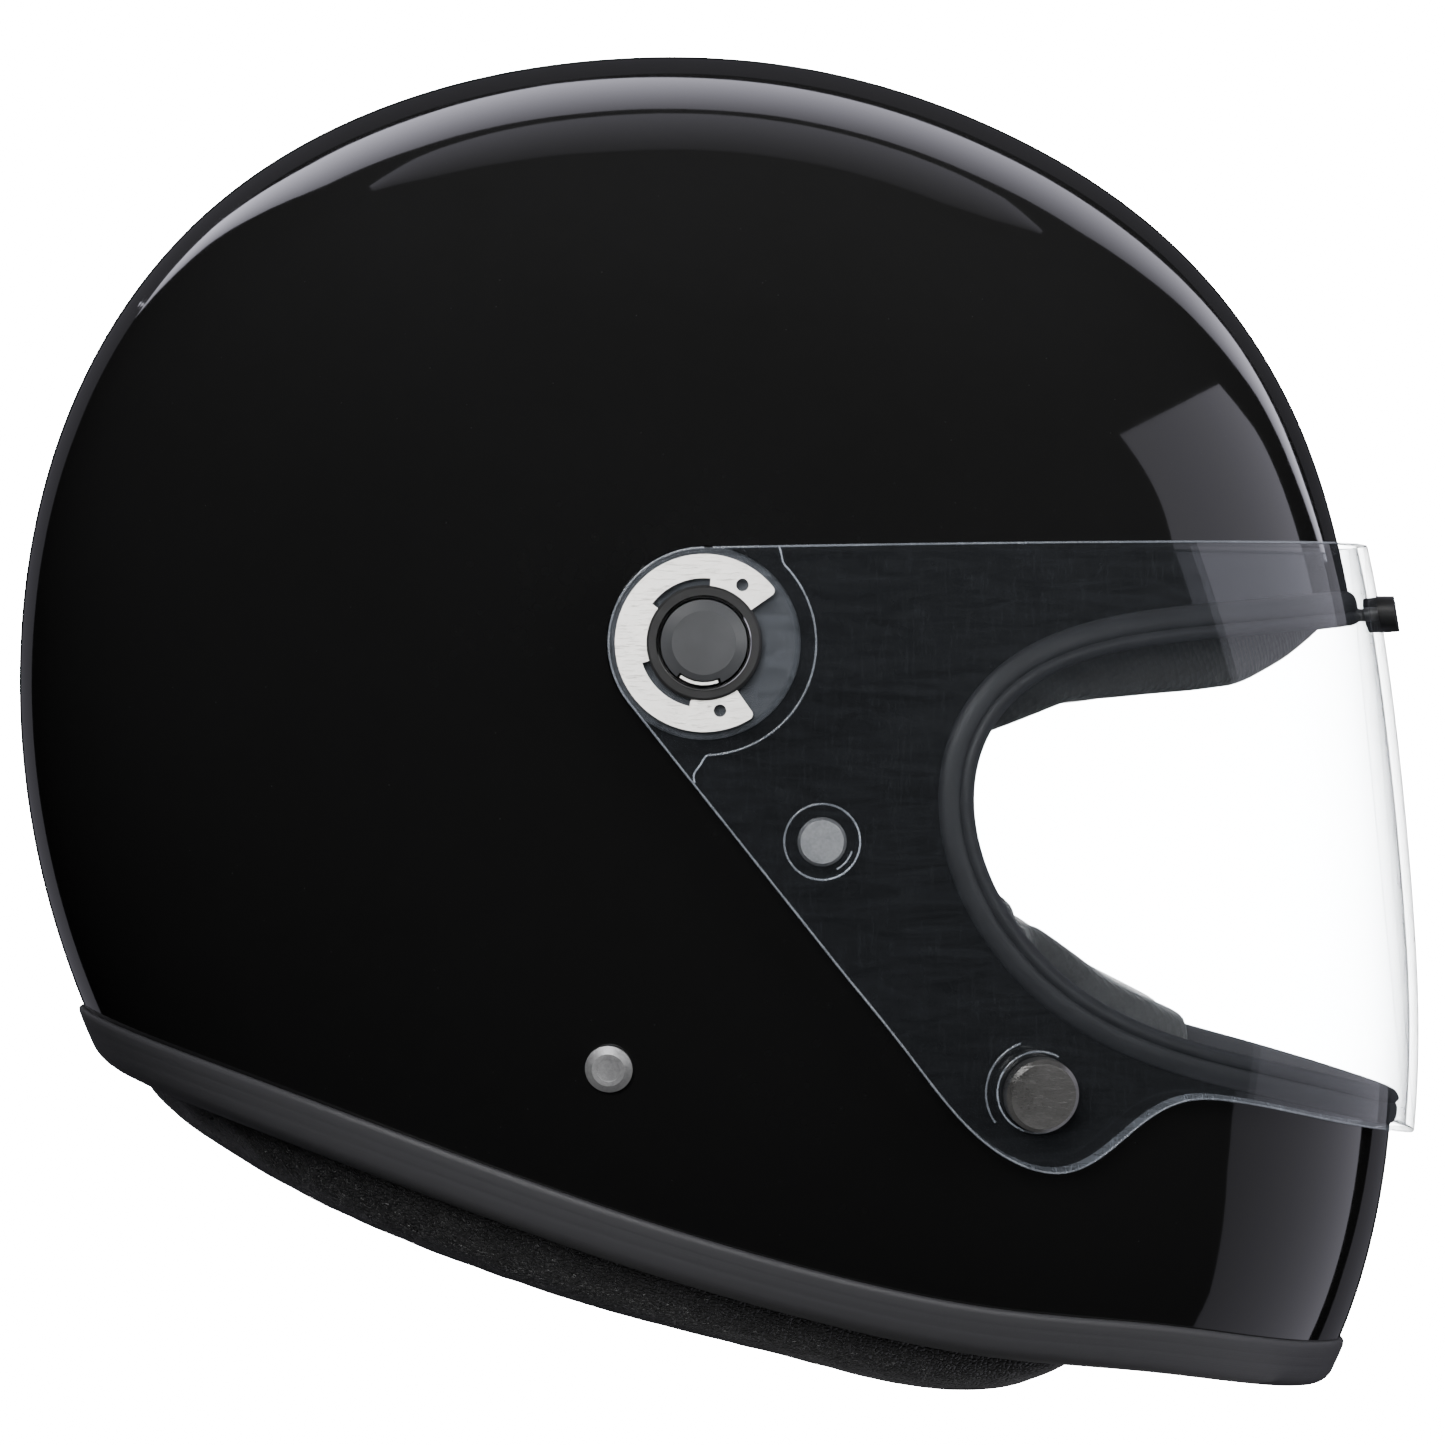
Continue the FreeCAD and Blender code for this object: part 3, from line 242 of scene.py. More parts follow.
def slab(name, keep, lines, out, side, wall, pitch, material, body, stands_for,
         flats=(), rings=()):
    """Sheet of even thickness on the shell's form: keep(x, z) says which side-view points
    belong to it, lines are the outlines that it is cut along, on both sides of the helmet."""
    scale = 100.0

    def flat_of(x, z):
        a = np.arctan2(z, x)
        share = np.hypot(x, z) / (reach(a) + out)
        turn = np.where(share < 1, np.arcsin(np.minimum(share, 1)), math.pi / 2 + (share - 1) * 4)
        return np.stack([turn * np.cos(a), turn * np.sin(a)], 1) * scale
    points, edges = [], []

    def chain(p, closed):
        start = len(points)
        points.extend(p.tolist())
        n = len(p)
        edges.extend((start + i, start + (i + 1) % n) for i in range(n if closed else n - 1))
    turn = np.linspace(0, 2 * math.pi, 300, endpoint=False)
    edge_circle = np.stack([np.cos(turn), np.sin(turn)], 1) * scale * math.pi / 2
    chain(edge_circle, True)
    for line, closed in lines:
        p = flat_of(line[:, 0], line[:, 1])
        far = np.hypot(p[:, 0], p[:, 1]) < scale * (math.pi / 2 + 0.35)
        chain(p[far], closed)
    for r in rings:
        circle = np.stack([np.cos(turn[::4]), np.sin(turn[::4])], 1) * r
        chain(flat_of(circle[:, 0], circle[:, 1]), True)
    taken = np.array(points)
    step = pitch / 1.35
    gx, gz = np.meshgrid(np.arange(-160, 160, step), np.arange(-160, 160, step * 0.866))
    gx = gx + (np.arange(gz.shape[0]) % 2)[:, None] * step / 2
    grid = np.stack([gx.ravel(), gz.ravel()], 1)
    grid = grid[np.hypot(grid[:, 0], grid[:, 1]) < scale * math.pi / 2 - step * 0.45]
    close = np.full(len(grid), 1e9)
    for block in np.array_split(taken, max(1, len(taken) // 200)):
        gap = np.linalg.norm(grid[:, None] - block[None], axis=2).min(1)
        close = np.minimum(close, gap)
    grid = grid[close > step * 0.5]
    everything = [Vector(p) for p in np.concatenate([taken, grid]).tolist()]
    flat, _, tris, _, _, _ = delaunay_2d_cdt(everything, edges, [], 0, 1e-5)
    q = np.array([list(v) for v in flat]) / scale
    turn_in = np.minimum(np.hypot(q[:, 0], q[:, 1]), math.pi / 2)
    bearing = np.arctan2(q[:, 1], q[:, 0])

    def surface(o, s):
        r = np.sin(turn_in) * (reach(bearing) + o)
        x, z = r * np.cos(bearing), r * np.sin(bearing)
        y = (HALF + s) * np.sqrt(np.maximum(1 - np.sin(turn_in) ** power(bearing), 0))
        y[turn_in > math.pi / 2 - 0.004] = 0
        for radius, level in flats:
            if o == out:
                y = np.where(np.hypot(x, z) < radius - 0.02, np.minimum(y, level), y)
        return np.stack([x, y, z], 1)
    outer, inner = surface(out, side), surface(out - wall, side - wall)
    tris = np.array([list(t) for t in tris])
    middle = outer[tris].mean(1)
    used = (np.hypot(*q[tris].mean(1).T) < math.pi / 2) & keep(middle[:, 0], middle[:, 2])
    tris = tris[used]
    n = len(outer)
    seen = {}
    for t in tris:
        for a, b in ((t[0], t[1]), (t[1], t[2]), (t[2], t[0])):
            seen[(a, b)] = seen.get((a, b), 0) + 1
    walls = [(a, b) for a, b in seen if (b, a) not in seen
             and not (outer[a, 1] == 0 and outer[b, 1] == 0)]
    p = np.concatenate([outer, inner])
    half_faces = [tuple(t) for t in tris] + [(t[2] + n, t[1] + n, t[0] + n) for t in tris]
    half_faces += [(b, a, a + n, b + n) for a, b in walls]
    kinds = [0] * len(tris) + [1] * len(tris) + [2] * len(walls)
    mirror = np.arange(len(p)) + len(p)
    on_middle = p[:, 1] == 0
    mirror[on_middle] = np.where(on_middle)[0]
    far = p.copy()
    far[:, 1] *= -1
    whole = np.concatenate([p, far])
    faces = [tuple(mirror[list(f)][::-1]) for f in half_faces] + half_faces
    kinds = kinds + kinds
    keep_index = np.unique(np.concatenate([np.array(f) for f in faces]))
    renumber = np.full(len(whole), -1)
    renumber[keep_index] = np.arange(len(keep_index))
    faces = [tuple(renumber[list(f)]) for f in faces]
    whole = whole[keep_index]
    obj = from_faces(name, whole, faces, material, body, True, stands_for)
    # the side with positive y was listed with its outline running the same way round, so
    # normals are set from the form itself rather than from the winding
    mesh = obj.data
    with editing(mesh) as bm:
        bmesh.ops.recalc_face_normals(bm, faces=bm.faces)
    true = normals(whole, out, side)
    count = len(mesh.loops)
    vertex = np.zeros(count, int)
    mesh.loops.foreach_get("vertex_index", vertex)
    want = np.zeros((count, 3))
    for f in mesh.polygons:
        kind = kinds[f.index]
        ls = list(f.loop_indices)
        if kind == 2:
            want[ls] = f.normal
            # on the visor the second material is the milky painted highlight of its cut edge
            f.material_index = min(1, len(mesh.materials) - 1)
            continue
        sign = 1 if kind == 0 else -1
        c = true[vertex[ls]] * sign
        spot = np.hypot(whole[vertex[ls], 0], whole[vertex[ls], 2]).max()
        if flats and kind == 0 and spot < flats[0][0] + 0.05:
            c = np.tile(np.array(f.normal), (len(ls), 1))
        want[ls] = c
    mesh.normals_split_custom_set(want.tolist())
    return obj


def run_row(at, out, side, count):
    """One row of points along a side-view curve on the surface that stands proud, evenly
    spaced from where it crosses the middle plane to its end or its other crossing."""
    s = np.linspace(0, 1, 4001)
    p = at(s)
    a = np.arctan2(p[:, 1], p[:, 0])
    gap = np.hypot(p[:, 0], p[:, 1]) / (reach(a) + out) - 1
    within = np.where(gap < 0)[0]
    lo, hi = within[0], within[-1]

    def crossing(i, j):
        return s[i] + (s[j] - s[i]) * gap[i] / (gap[i] - gap[j])
    start = crossing(lo - 1, lo) if lo > 0 else 0.0
    end = crossing(hi, hi + 1) if hi < 4000 else s[hi]
    fine = start + (end - start) * (1 - np.cos(np.linspace(0, math.pi, 3000))) / 2
    q = at(fine)
    y = height(q[:, 0], q[:, 1], out, side)
    if lo > 0:
        y[0] = 0
    if hi < 4000:
        y[-1] = 0
    full = np.stack([q[:, 0], y, q[:, 1]], 1)
    run = np.concatenate([[0], np.cumsum(np.linalg.norm(np.diff(full, axis=0), axis=1))])
    want = np.linspace(0, run[-1], count)
    return np.stack([np.interp(want, run, full[:, k]) for k in range(3)], 1)


def band(name, outline, turn, section, count, material, stands_for):
    """Closed strip round an opening: section lists (distance across the band, proud)."""
    rows = []
    for across, proud in section:
        row = run_row(spline(beside(outline, turn * across)), proud, proud, count)
        far = row[1:-1][::-1] * np.array([1, -1, 1])
        rows.append(np.concatenate([row, far]))
    m = len(rows[0])
    k = len(rows)
    obj = from_faces(name, np.concatenate(rows), quads(k, m, hoop=True), material, "helmet",
                     True, stands_for)
    sharpen(obj, 50)
    uv = obj.data.uv_layers.new(name="run")
    for loop in obj.data.loops:
        r, i = divmod(loop.vertex_index, m)
        uv.data[loop.index].uv = (i / m, section[r][0] / 12)


# ---------- materials

def mat(name, **values):
    m = bpy.data.materials.new(name)
    m.use_nodes = True
    tree = m.node_tree
    shader = next(n for n in tree.nodes if n.type == "BSDF_PRINCIPLED")
    for key, value in values.items():
        shader.inputs[key.replace("_", " ")].default_value = value
    return m, tree, shader


def node(tree, kind, links=(), **values):
    n = tree.nodes.new(kind)
    for key, value in values.items():
        if key in n.inputs:
            n.inputs[key].default_value = value
        else:
            setattr(n, key, value)
    for key, source in dict(links).items():
        tree.links.new(source, n.inputs[key])
    return n


def where(tree, stretch=(1, 1, 1), turn=(0, 0, 0), kind="Object"):
    coords = tree.nodes.new("ShaderNodeTexCoord")
    m = node(tree, "ShaderNodeMapping", {"Vector": coords.outputs[kind]})
    m.inputs["Scale"].default_value = stretch
    m.inputs["Rotation"].default_value = turn
    return m.outputs["Vector"]


def fog(tree, scale, detail=4.0, rough=0.55, vector=None, twist=0.0):
    vector = vector or where(tree)
    return node(tree, "ShaderNodeTexNoise", {"Vector": vector}, Scale=scale, Detail=detail,
                Roughness=rough, Distortion=twist).outputs["Fac"]


def cells(tree, scale, feature="F1", vector=None, randomness=1.0):
    vector = vector or where(tree)
    n = node(tree, "ShaderNodeTexVoronoi", {"Vector": vector}, Scale=scale,
             Randomness=randomness, feature=feature)
    return n.outputs["Distance"]


def ramp(tree, source, *stops):
    n = node(tree, "ShaderNodeValToRGB", {"Fac": source})
    e = n.color_ramp.elements
    while len(e) < len(stops):
        e.new(0.5)
    for item, (at, colour) in zip(e, stops):
        item.position = at
        c = colour if isinstance(colour, (tuple, list)) else (colour,) * 3
        item.color = (*c, 1)
    return n.outputs["Color"]


def sum_of(tree, a, b, kind="ADD"):
    n = tree.nodes.new("ShaderNodeMath")
    n.operation = kind
    for socket, source in zip(n.inputs, (a, b)):
        if isinstance(source, (int, float)):
            socket.default_value = source
        else:
            tree.links.new(source, socket)
    return n.outputs[0]


def bumps(tree, shader, *layers):
    """Height layers as (source, strength, depth in metres), the broad one first."""
    normal = None
    for source, strength, depth in layers:
        links = {"Height": source}
        if normal:
            links["Normal"] = normal
        normal = node(tree, "ShaderNodeBump", links, Strength=strength,
                      Distance=depth).outputs["Normal"]
    tree.links.new(normal, shader.inputs["Normal"])


def feed(tree, shader, **sources):
    for key, source in sources.items():
        tree.links.new(source, shader.inputs[key.replace("_", " ")])


def gloss_shell():
    m, t, s = mat("shell_lacquer", IOR=1.5, Coat_Weight=0.35, Coat_Roughness=0.015)
    haze = fog(t, 22, 3)
    lint = cells(t, 210, vector=where(t, (1, 1, 1), (0.4, 0.2, 0.9)))
    specks = ramp(t, lint, (0.0, 0.070), (0.035, 0.0185), (1.0, 0.0172))
    swirls = fog(t, 30, 6, 0.7, where(t, (1, 1, 9), (0.5, 0.3, 0.2)), 2.5)
    colour = node(t, "ShaderNodeMix", {"Factor": ramp(t, haze, (0.35, 0.0), (0.7, 0.25)),
                                       "A": specks}, data_type="RGBA")
    colour.inputs["B"].default_value = (0.0215, 0.0215, 0.0228, 1)
    feed(t, s, Base_Color=colour.outputs["Result"],
         Roughness=ramp(t, swirls, (0.3, 0.035), (0.75, 0.075)))
    bumps(t, s, (fog(t, 240, 2), 0.012, 0.0003))
    return m


def rubber(name, tone, rough, lines):
    m, t, s = mat(name, IOR=1.48)
    along = where(t, (2, 60, 1), kind="UV")
    streaks = fog(t, 3.0, 5, 0.6, along)
    dust = fog(t, 900, 3)
    base = node(t, "ShaderNodeMix", {"Factor": streaks}, data_type="RGBA")
    base.inputs["A"].default_value = (tone * 0.72, tone * 0.72, tone * 0.79, 1)
    base.inputs["B"].default_value = (tone * 1.3, tone * 1.3, tone * 1.42, 1)
    feed(t, s, Base_Color=base.outputs["Result"],
         Roughness=ramp(t, streaks, (0.25, rough - 0.07), (0.8, rough + 0.08)))
    bumps(t, s, (streaks, lines, 0.0002), (dust, 0.10, 0.0001))
    return m


def leather():
    m, t, s = mat("roll_leather_grained", IOR=1.5, Sheen_Weight=0.08, Sheen_Roughness=0.4)
    bend = where(t, (1, 1.15, 1.1))
    pores = cells(t, 940, "DISTANCE_TO_EDGE", bend)
    fine = cells(t, 1500, "DISTANCE_TO_EDGE", where(t, (1.2, 1, 1), (0.3, 0.8, 0.1)))
    folds = fog(t, 70, 4, 0.6, where(t, (2.2, 0.7, 0.8), (0.1, 0.5, 0)), 0.8)
    pebble = ramp(t, pores, (0.0, 0.0), (0.16, 0.8), (0.6, 1.0))
    # painted shade: the colour follows the bump heights, darker in the grain's grooves and in the
    # folds' hollows
    tone = sum_of(t, folds, sum_of(t, pebble, 0.35, "MULTIPLY"))
    feed(t, s, Base_Color=ramp(t, tone, (0.35, (0.0105, 0.0102, 0.0108)),
                               (0.95, (0.029, 0.0285, 0.0298))),
         Roughness=ramp(t, fog(t, 160, 4), (0.3, 0.24), (0.75, 0.38)))
    bumps(t, s, (folds, 0.30, 0.0010), (pebble, 1.0, 0.0009), (fine, 0.35, 0.0002))
    return m


def knit(name, tone, sheen=0.35, scale=620):
    m, t, s = mat(name, Sheen_Weight=sheen, Sheen_Roughness=0.45, IOR=1.4)
    v = where(t, (1, 1, 1), (0.0, 0.6, 0.4))
    loops = cells(t, scale, "F1", v, 0.35)
    fuzz = fog(t, 1400, 4)
    cloud = fog(t, 18, 4)
    tint = sum_of(t, sum_of(t, cloud, 0.7, "MULTIPLY"), sum_of(t, fuzz, 0.45, "MULTIPLY"))
    feed(t, s, Base_Color=ramp(t, tint, (0.30, (tone * 0.5,) * 3), (0.85, (tone * 1.6,) * 3)),
         Roughness=ramp(t, fuzz, (0.2, 0.8), (0.8, 0.97)))
    bumps(t, s, (cloud, 0.3, 0.002), (loops, 0.55, 0.0006), (fuzz, 0.4, 0.0002))
    return m


def bead_foam():
    m, t, s = mat("expanded_beads", IOR=1.45)
    v = where(t)
    beads = cells(t, 330, "DISTANCE_TO_EDGE", v)
    tone = cells(t, 330, "F1", v)
    feed(t, s, Base_Color=ramp(t, tone, (0.0, (0.030, 0.030, 0.032)), (0.7, (0.012, 0.012, 0.013))),
         Roughness=ramp(t, beads, (0.0, 0.92), (0.4, 0.62)))
    bumps(t, s, (ramp(t, beads, (0.0, 0.0), (0.12, 1.0)), 0.6, 0.0006), (fog(t, 1200, 3), 0.2, 0.0001))
    return m


def webbing():
    m, t, s = mat("strap_weave", Sheen_Weight=0.3, Sheen_Roughness=0.35, IOR=1.45)
    v = where(t, (1, 1, 1), kind="UV")
    warp = node(t, "ShaderNodeTexWave", {"Vector": v}, Scale=36.0, Distortion=0.6, Detail=1.0)
    weft = node(t, "ShaderNodeTexWave", {"Vector": v}, Scale=60.0, Distortion=0.8, Detail=1.0,
                bands_direction="Y")
    cross = sum_of(t, warp.outputs["Fac"], weft.outputs["Fac"], "MULTIPLY")
    fuzz = fog(t, 1600, 3)
    feed(t, s, Base_Color=ramp(t, cross, (0.0, (0.006, 0.006, 0.007)), (0.9, (0.032, 0.032, 0.035))),
         Roughness=ramp(t, fuzz, (0.2, 0.62), (0.8, 0.85)))
    bumps(t, s, (cross, 0.7, 0.0006), (fuzz, 0.3, 0.0001))
    return m


def metal(name, low, high, rough, metallic=1.0, grain=900, stretch=(1, 1, 1), depth=0.15,
          scratch=0.0):
    m, t, s = mat(name, Metallic=metallic, IOR=1.5)
    v = where(t, stretch)
    fine = fog(t, grain, 5, 0.6, v)
    broad = fog(t, 90, 4)
    tint = sum_of(t, sum_of(t, broad, 0.6, "MULTIPLY"), sum_of(t, fine, 0.4, "MULTIPLY"))
    feed(t, s, Base_Color=ramp(t, tint, (0.3, low), (0.72, high)),
         Roughness=ramp(t, tint, (0.3, rough[0]), (0.75, rough[1])))
    layers = [(fine, depth, 0.0001)]
    if scratch:
        lines = fog(t, 260, 2, 0.5, where(t, (1, 1, 14), (0.2, 0.9, 0.3)), 0.4)
        cuts = ramp(t, lines, (0.60, 0.0), (0.64, 1.0), (0.68, 0.0))
        layers.append((cuts, scratch, 0.0001))
    bumps(t, s, *layers)
    return m


def moulded(name, tone, rough, blotch=0.25, grain=1100, depth=0.18):
    m, t, s = mat(name, IOR=1.49)
    fine = fog(t, grain, 4)
    broad = fog(t, 60, 4)
    feed(t, s, Base_Color=ramp(t, broad, (0.3, tuple(c * (1 - blotch) for c in tone)),
                               (0.75, tuple(c * (1 + blotch) for c in tone))),
         Roughness=ramp(t, fog(t, 300, 4), (0.3, rough - 0.06), (0.75, rough + 0.07)))
    bumps(t, s, (fine, depth, 0.0001))
    return m


def clear_plastic(name, haze):
    """Thin moulded sheet: a clear film with its surface gloss over it, faintly hazed."""
    m = bpy.data.materials.new(name)
    m.use_nodes = True
    t = m.node_tree
    t.nodes.clear()
    end = t.nodes.new("ShaderNodeOutputMaterial")
    marks = fog(t, 46, 6, 0.72, where(t, (1, 1, 6), (0.3, 0.5, 0.2)), 1.5)
    hair = fog(t, 120, 3, 0.5, where(t, (9, 1, 1), (0.1, 0.7, 0.4)), 0.6)
    lines = ramp(t, hair, (0.585, 0.0), (0.605, 1.0), (0.625, 0.0))
    cloudy = ramp(t, marks, (0.35, haze * 0.6), (0.75, haze * 1.5))
    worn = sum_of(t, cloudy, sum_of(t, lines, haze * 0.9, "MULTIPLY"))
    ripple = node(t, "ShaderNodeBump", {"Height": fog(t, 60, 2)}, Strength=0.02, Distance=0.0004)
    gloss = node(t, "ShaderNodeBsdfGlossy", {"Normal": ripple.outputs["Normal"]},
                 Roughness=0.02, Color=(1, 1, 1, 1))
    clear = node(t, "ShaderNodeBsdfTransparent", Color=(0.955, 0.965, 0.975, 1))
    milk = node(t, "ShaderNodeBsdfDiffuse", Color=(0.66, 0.72, 0.82, 1))
    body = node(t, "ShaderNodeMixShader", {0: worn, 1: clear.outputs[0], 2: milk.outputs[0]})
    slant = node(t, "ShaderNodeLayerWeight", Blend=0.5).outputs["Facing"]
    skin = sum_of(t, sum_of(t, sum_of(t, slant, 5.0, "POWER"), 0.95, "MULTIPLY"), 0.05)
    top = node(t, "ShaderNodeMixShader", {0: skin, 1: body.outputs[0], 2: gloss.outputs[0]})
    t.links.new(top.outputs[0], end.inputs["Surface"])
    return m


M = {
    "shell": gloss_shell(),
    "trim": rubber("trim_rubber_satin", 0.050, 0.44, 0.35),
    "seal": rubber("seal_rubber_satin", 0.022, 0.48, 0.22),
    "leather": leather(),
    "lining": knit("lining_brushed", 0.030, 0.30),
    "pads": knit("pads_suede", 0.055, 0.45, 480),
    "foam": bead_foam(),
    "web": webbing(),
    "thread": moulded("thread_black", (0.022, 0.022, 0.024), 0.6, 0.3, 2200, 0.5),
    "visor": clear_plastic("visor_clear", 0.021),
    # milky whitish film: a painted highlight on the visor's cut edge and on the bright arcs of its
    # moulded lines
    "visor_edge": clear_plastic("visor_edge_painted_highlight", 0.34),
    "visor_worn": clear_plastic("visor_rubbed", 0.15),
    "clip": metal("clip_cream_nickel", (0.80, 0.78, 0.74), (0.95, 0.93, 0.90), (0.30, 0.42), 0.85,
                  700, (1, 1, 1), 0.12, 0.35),
    "chrome": metal("ring_chrome", (0.70, 0.70, 0.71), (0.86, 0.86, 0.87), (0.08, 0.18), 1.0),
    "zinc": metal("zinc_dull", (0.20, 0.20, 0.205), (0.52, 0.52, 0.53), (0.38, 0.60), 0.85, 1500,
                  (1, 1, 1), 0.45),
    "snap": metal("snap_nickel", (0.16, 0.157, 0.154), (0.33, 0.325, 0.32), (0.24, 0.38), 0.9, 1300,
                  (1, 1, 3), 0.30, 0.2),
    "steel": metal("ring_steel", (0.42, 0.42, 0.43), (0.66, 0.66, 0.67), (0.16, 0.32), 1.0, 600,
                   (1, 6, 1), 0.10, 0.25),
    "wire": metal("wire_drawn", (0.40, 0.40, 0.41), (0.60, 0.60, 0.61), (0.22, 0.36), 1.0, 800),
    "hub": moulded("hub_satin", (0.020, 0.020, 0.021), 0.42),
    "base": moulded("base_satin", (0.012, 0.012, 0.013), 0.46),
    "button": moulded("button_satin", (0.064, 0.066, 0.071), 0.36, 0.2, 1500, 0.12),
    "tab": moulded("tab_black", (0.011, 0.011, 0.012), 0.42),
    "stud": moulded("stud_black", (0.014, 0.014, 0.015), 0.5),
}


# ---------- shell, trims and visor

# How far the shell's edge stops inside the seal and above the trim's lower edge.
EYE_EDGE, RIM_EDGE = 4.5, 5.0
SPOT, SPOT_LEVEL = 21.2, 119.5


def shell_keeps(x, z):
    return ~inside(eye_area(EYE_EDGE), x, z) & ~inside(rim_area(RIM_EDGE), x, z)


shell = slab("shell_skin", shell_keeps,
             [(eye_area(EYE_EDGE), False), (rim_area(RIM_EDGE)[:160], False)], 0.0, 0.0, 3.5, 4.2,
             M["shell"], "helmet", ["outer_shell"],
             flats=[(SPOT, SPOT_LEVEL)], rings=[SPOT, SPOT - 0.12])

TRIM = [(0.0, -3.6), (0.12, -1.9), (0.5, -0.5), (1.1, 0.5), (2.0, 1.2), (3.0, 1.55), (3.25, 1.55),
        (3.5, 1.62), (5.2, 1.6), (5.45, 1.57), (5.7, 1.6), (7.6, 1.58), (7.85, 1.55), (8.1, 1.58),
        (9.9, 1.5), (10.7, 1.25), (11.2, 0.75), (11.4, 0.1), (11.4, -2.2), (11.4, -4.4),
        (11.0, -4.9), (9.5, -5.0), (4.0, -5.0), (1.6, -4.95), (0.8, -4.8), (0.25, -4.35)]
band("rim_trim", RIM, -1, TRIM, 300, M["trim"], ["edge_trim"])

SEAL = [(0.0, -2.6), (0.05, -0.6), (0.35, 0.7), (1.0, 1.5), (1.8, 1.8), (2.5, 1.65), (2.95, 1.1),
        (3.1, 0.95), (3.3, 1.15), (3.8, 1.55), (5.0, 1.6), (6.4, 1.4), (7.3, 0.9), (7.85, 0.3),
        (8.0, -0.1), (8.0, -4.2), (7.6, -5.2), (6.5, -5.5), (1.5, -5.5), (0.5, -5.1), (0.1, -4.2)]
band("eye_seal", EYEPORT, 1, SEAL, 240, M["seal"], ["eyeport_seal"])

EAR, RECESS, RECESS_LEVEL, HUB_HOLE = 20.6, 20.9, 124.4, 12.5


def visor_outline():
    down = (VISOR_LOWER[1][0] - VISOR_LOWER[0][0], VISOR_LOWER[1][1] - VISOR_LOWER[0][1])
    rear = math.atan2(down[1], down[0]) - math.pi / 2 + 2 * math.pi
    arc = np.linspace(math.pi / 2, rear, 60)
    ear = np.stack([np.cos(arc), np.sin(arc)], 1) * EAR
    low = spline(VISOR_LOWER)(np.linspace(0, 1, 150))
    straight = ear[-1] + (low[0] - ear[-1]) * np.linspace(0.04, 0.97, 24)[:, None]
    front = np.array([190.0, EAR + 3.4])
    top = front + (np.array([0, EAR]) - front) * np.linspace(0, 0.99, 90)[:, None]
    return np.concatenate([ear, straight, low, top])


OUTLINE = visor_outline()


def visor_keeps(x, z):
    return inside(OUTLINE, x, z) & (np.hypot(x, z) > HUB_HOLE)


visor = slab("clear_visor", visor_keeps, [(OUTLINE, True)], VISOR_OUT, VISOR_SIDE, VISOR_WALL,
             4.0, [M["visor"], M["visor_edge"], M["visor_worn"]], "visor_body",
             ["visor"], flats=[(RECESS, RECESS_LEVEL)], rings=[HUB_HOLE, RECESS, RECESS - 0.12])
for face in visor.data.polygons:
    spot = face.center * 1000 - Vector(PIVOT)
    if face.material_index == 0 and math.hypot(spot.x, spot.z) < RECESS:
        face.material_index = 2


def bead(name, look, width, tall, paths):
    """Fine moulded line standing on the visor along side-view paths, on both sides."""
    points, faces = [], []
    section = [(-1, -0.4), (-0.75, 0.6), (0, 1), (0.75, 0.6), (1, -0.4)]
    for path, closed in paths:
        p = np.asarray(path, float)
        y = height(p[:, 0], p[:, 1], VISOR_OUT, VISOR_SIDE)
        p, y = p[y > 6], y[y > 6]
        full = np.stack([p[:, 0], y, p[:, 1]], 1)
        along = np.roll(full, -1, 0) - np.roll(full, 1, 0)
        if not closed:
            along[0], along[-1] = full[1] - full[0], full[-1] - full[-2]
        along /= np.linalg.norm(along, axis=1, keepdims=True)
        up = normals(full, VISOR_OUT, VISOR_SIDE)
        across = np.cross(along, up)
        n, k = len(full), len(section)
        for sign in (1, -1):
            start = len(points)
            for i in range(n):
                for a, b in section:
                    q = full[i] + across[i] * a * width / 2 + up[i] * b * tall
                    points.append((q[0], q[1] * sign, q[2]))
            faces += [f[::sign] for f in quads(n, k, hoop=closed, start=start)]
    from_faces(name, points, faces, M[look], "visor_body")


def ring(x, z, r, start=0.0, stop=360.0):
    turn = np.radians(np.linspace(start, stop, 73))
    return np.stack([x + r * np.cos(turn), z + r * np.sin(turn)], 1)


boss = np.concatenate([[[16.2, 20.8], [16.6, 19.6]], ring(0, 0, 24.2, 44, -88),
                       [[-0.6, -26.0], [-2.2, -28.6], [-2.0, -30.2]]])
bead("visor_moulded_lines", "visor_worn", 0.5, 0.16, [
    (spline(boss)(np.linspace(0, 1, 160)), False),
    (ring(*STUD, 8.2)[:-1], True),
    (ring(*SNAP, 8.9, 60, 300), False),
    (ring(*SNAP, 11.4, 110, 215), False)])
# painted highlights: chosen arcs of the moulded lines are doubled in the milky edge material where
# they glint
bead("visor_painted_highlight_lines", "visor_edge", 0.42, 0.22, [
    (spline(boss)(np.linspace(0.0, 0.16, 40)), False),
    (spline(boss)(np.linspace(0.90, 1.0, 30)), False),
    (ring(*STUD, 8.2, -80, 30), False),
    (ring(*STUD, 6.7, -62, -18), False),
    (ring(*SNAP, 8.9, 150, 250), False)])
bead("visor_edge_line", "visor_worn", 0.5, 0.10, [
    (OUTLINE[OUTLINE[:, 0] < 170], False)])


# ---------- neck roll

def roll_row(share_down):
    """Side-view curve between the rim line and the roll's lower edge."""
    low = spline(ROLL)
    rim = spline(RIM)(np.linspace(0, 1, 1500))

    def at(s):
        p = low(s)
        top = np.interp(p[:, 0], rim[:, 0], rim[:, 1]) + 8.0
        return np.stack([p[:, 0], top + (p[:, 1] - top) * share_down], 1)
    return at


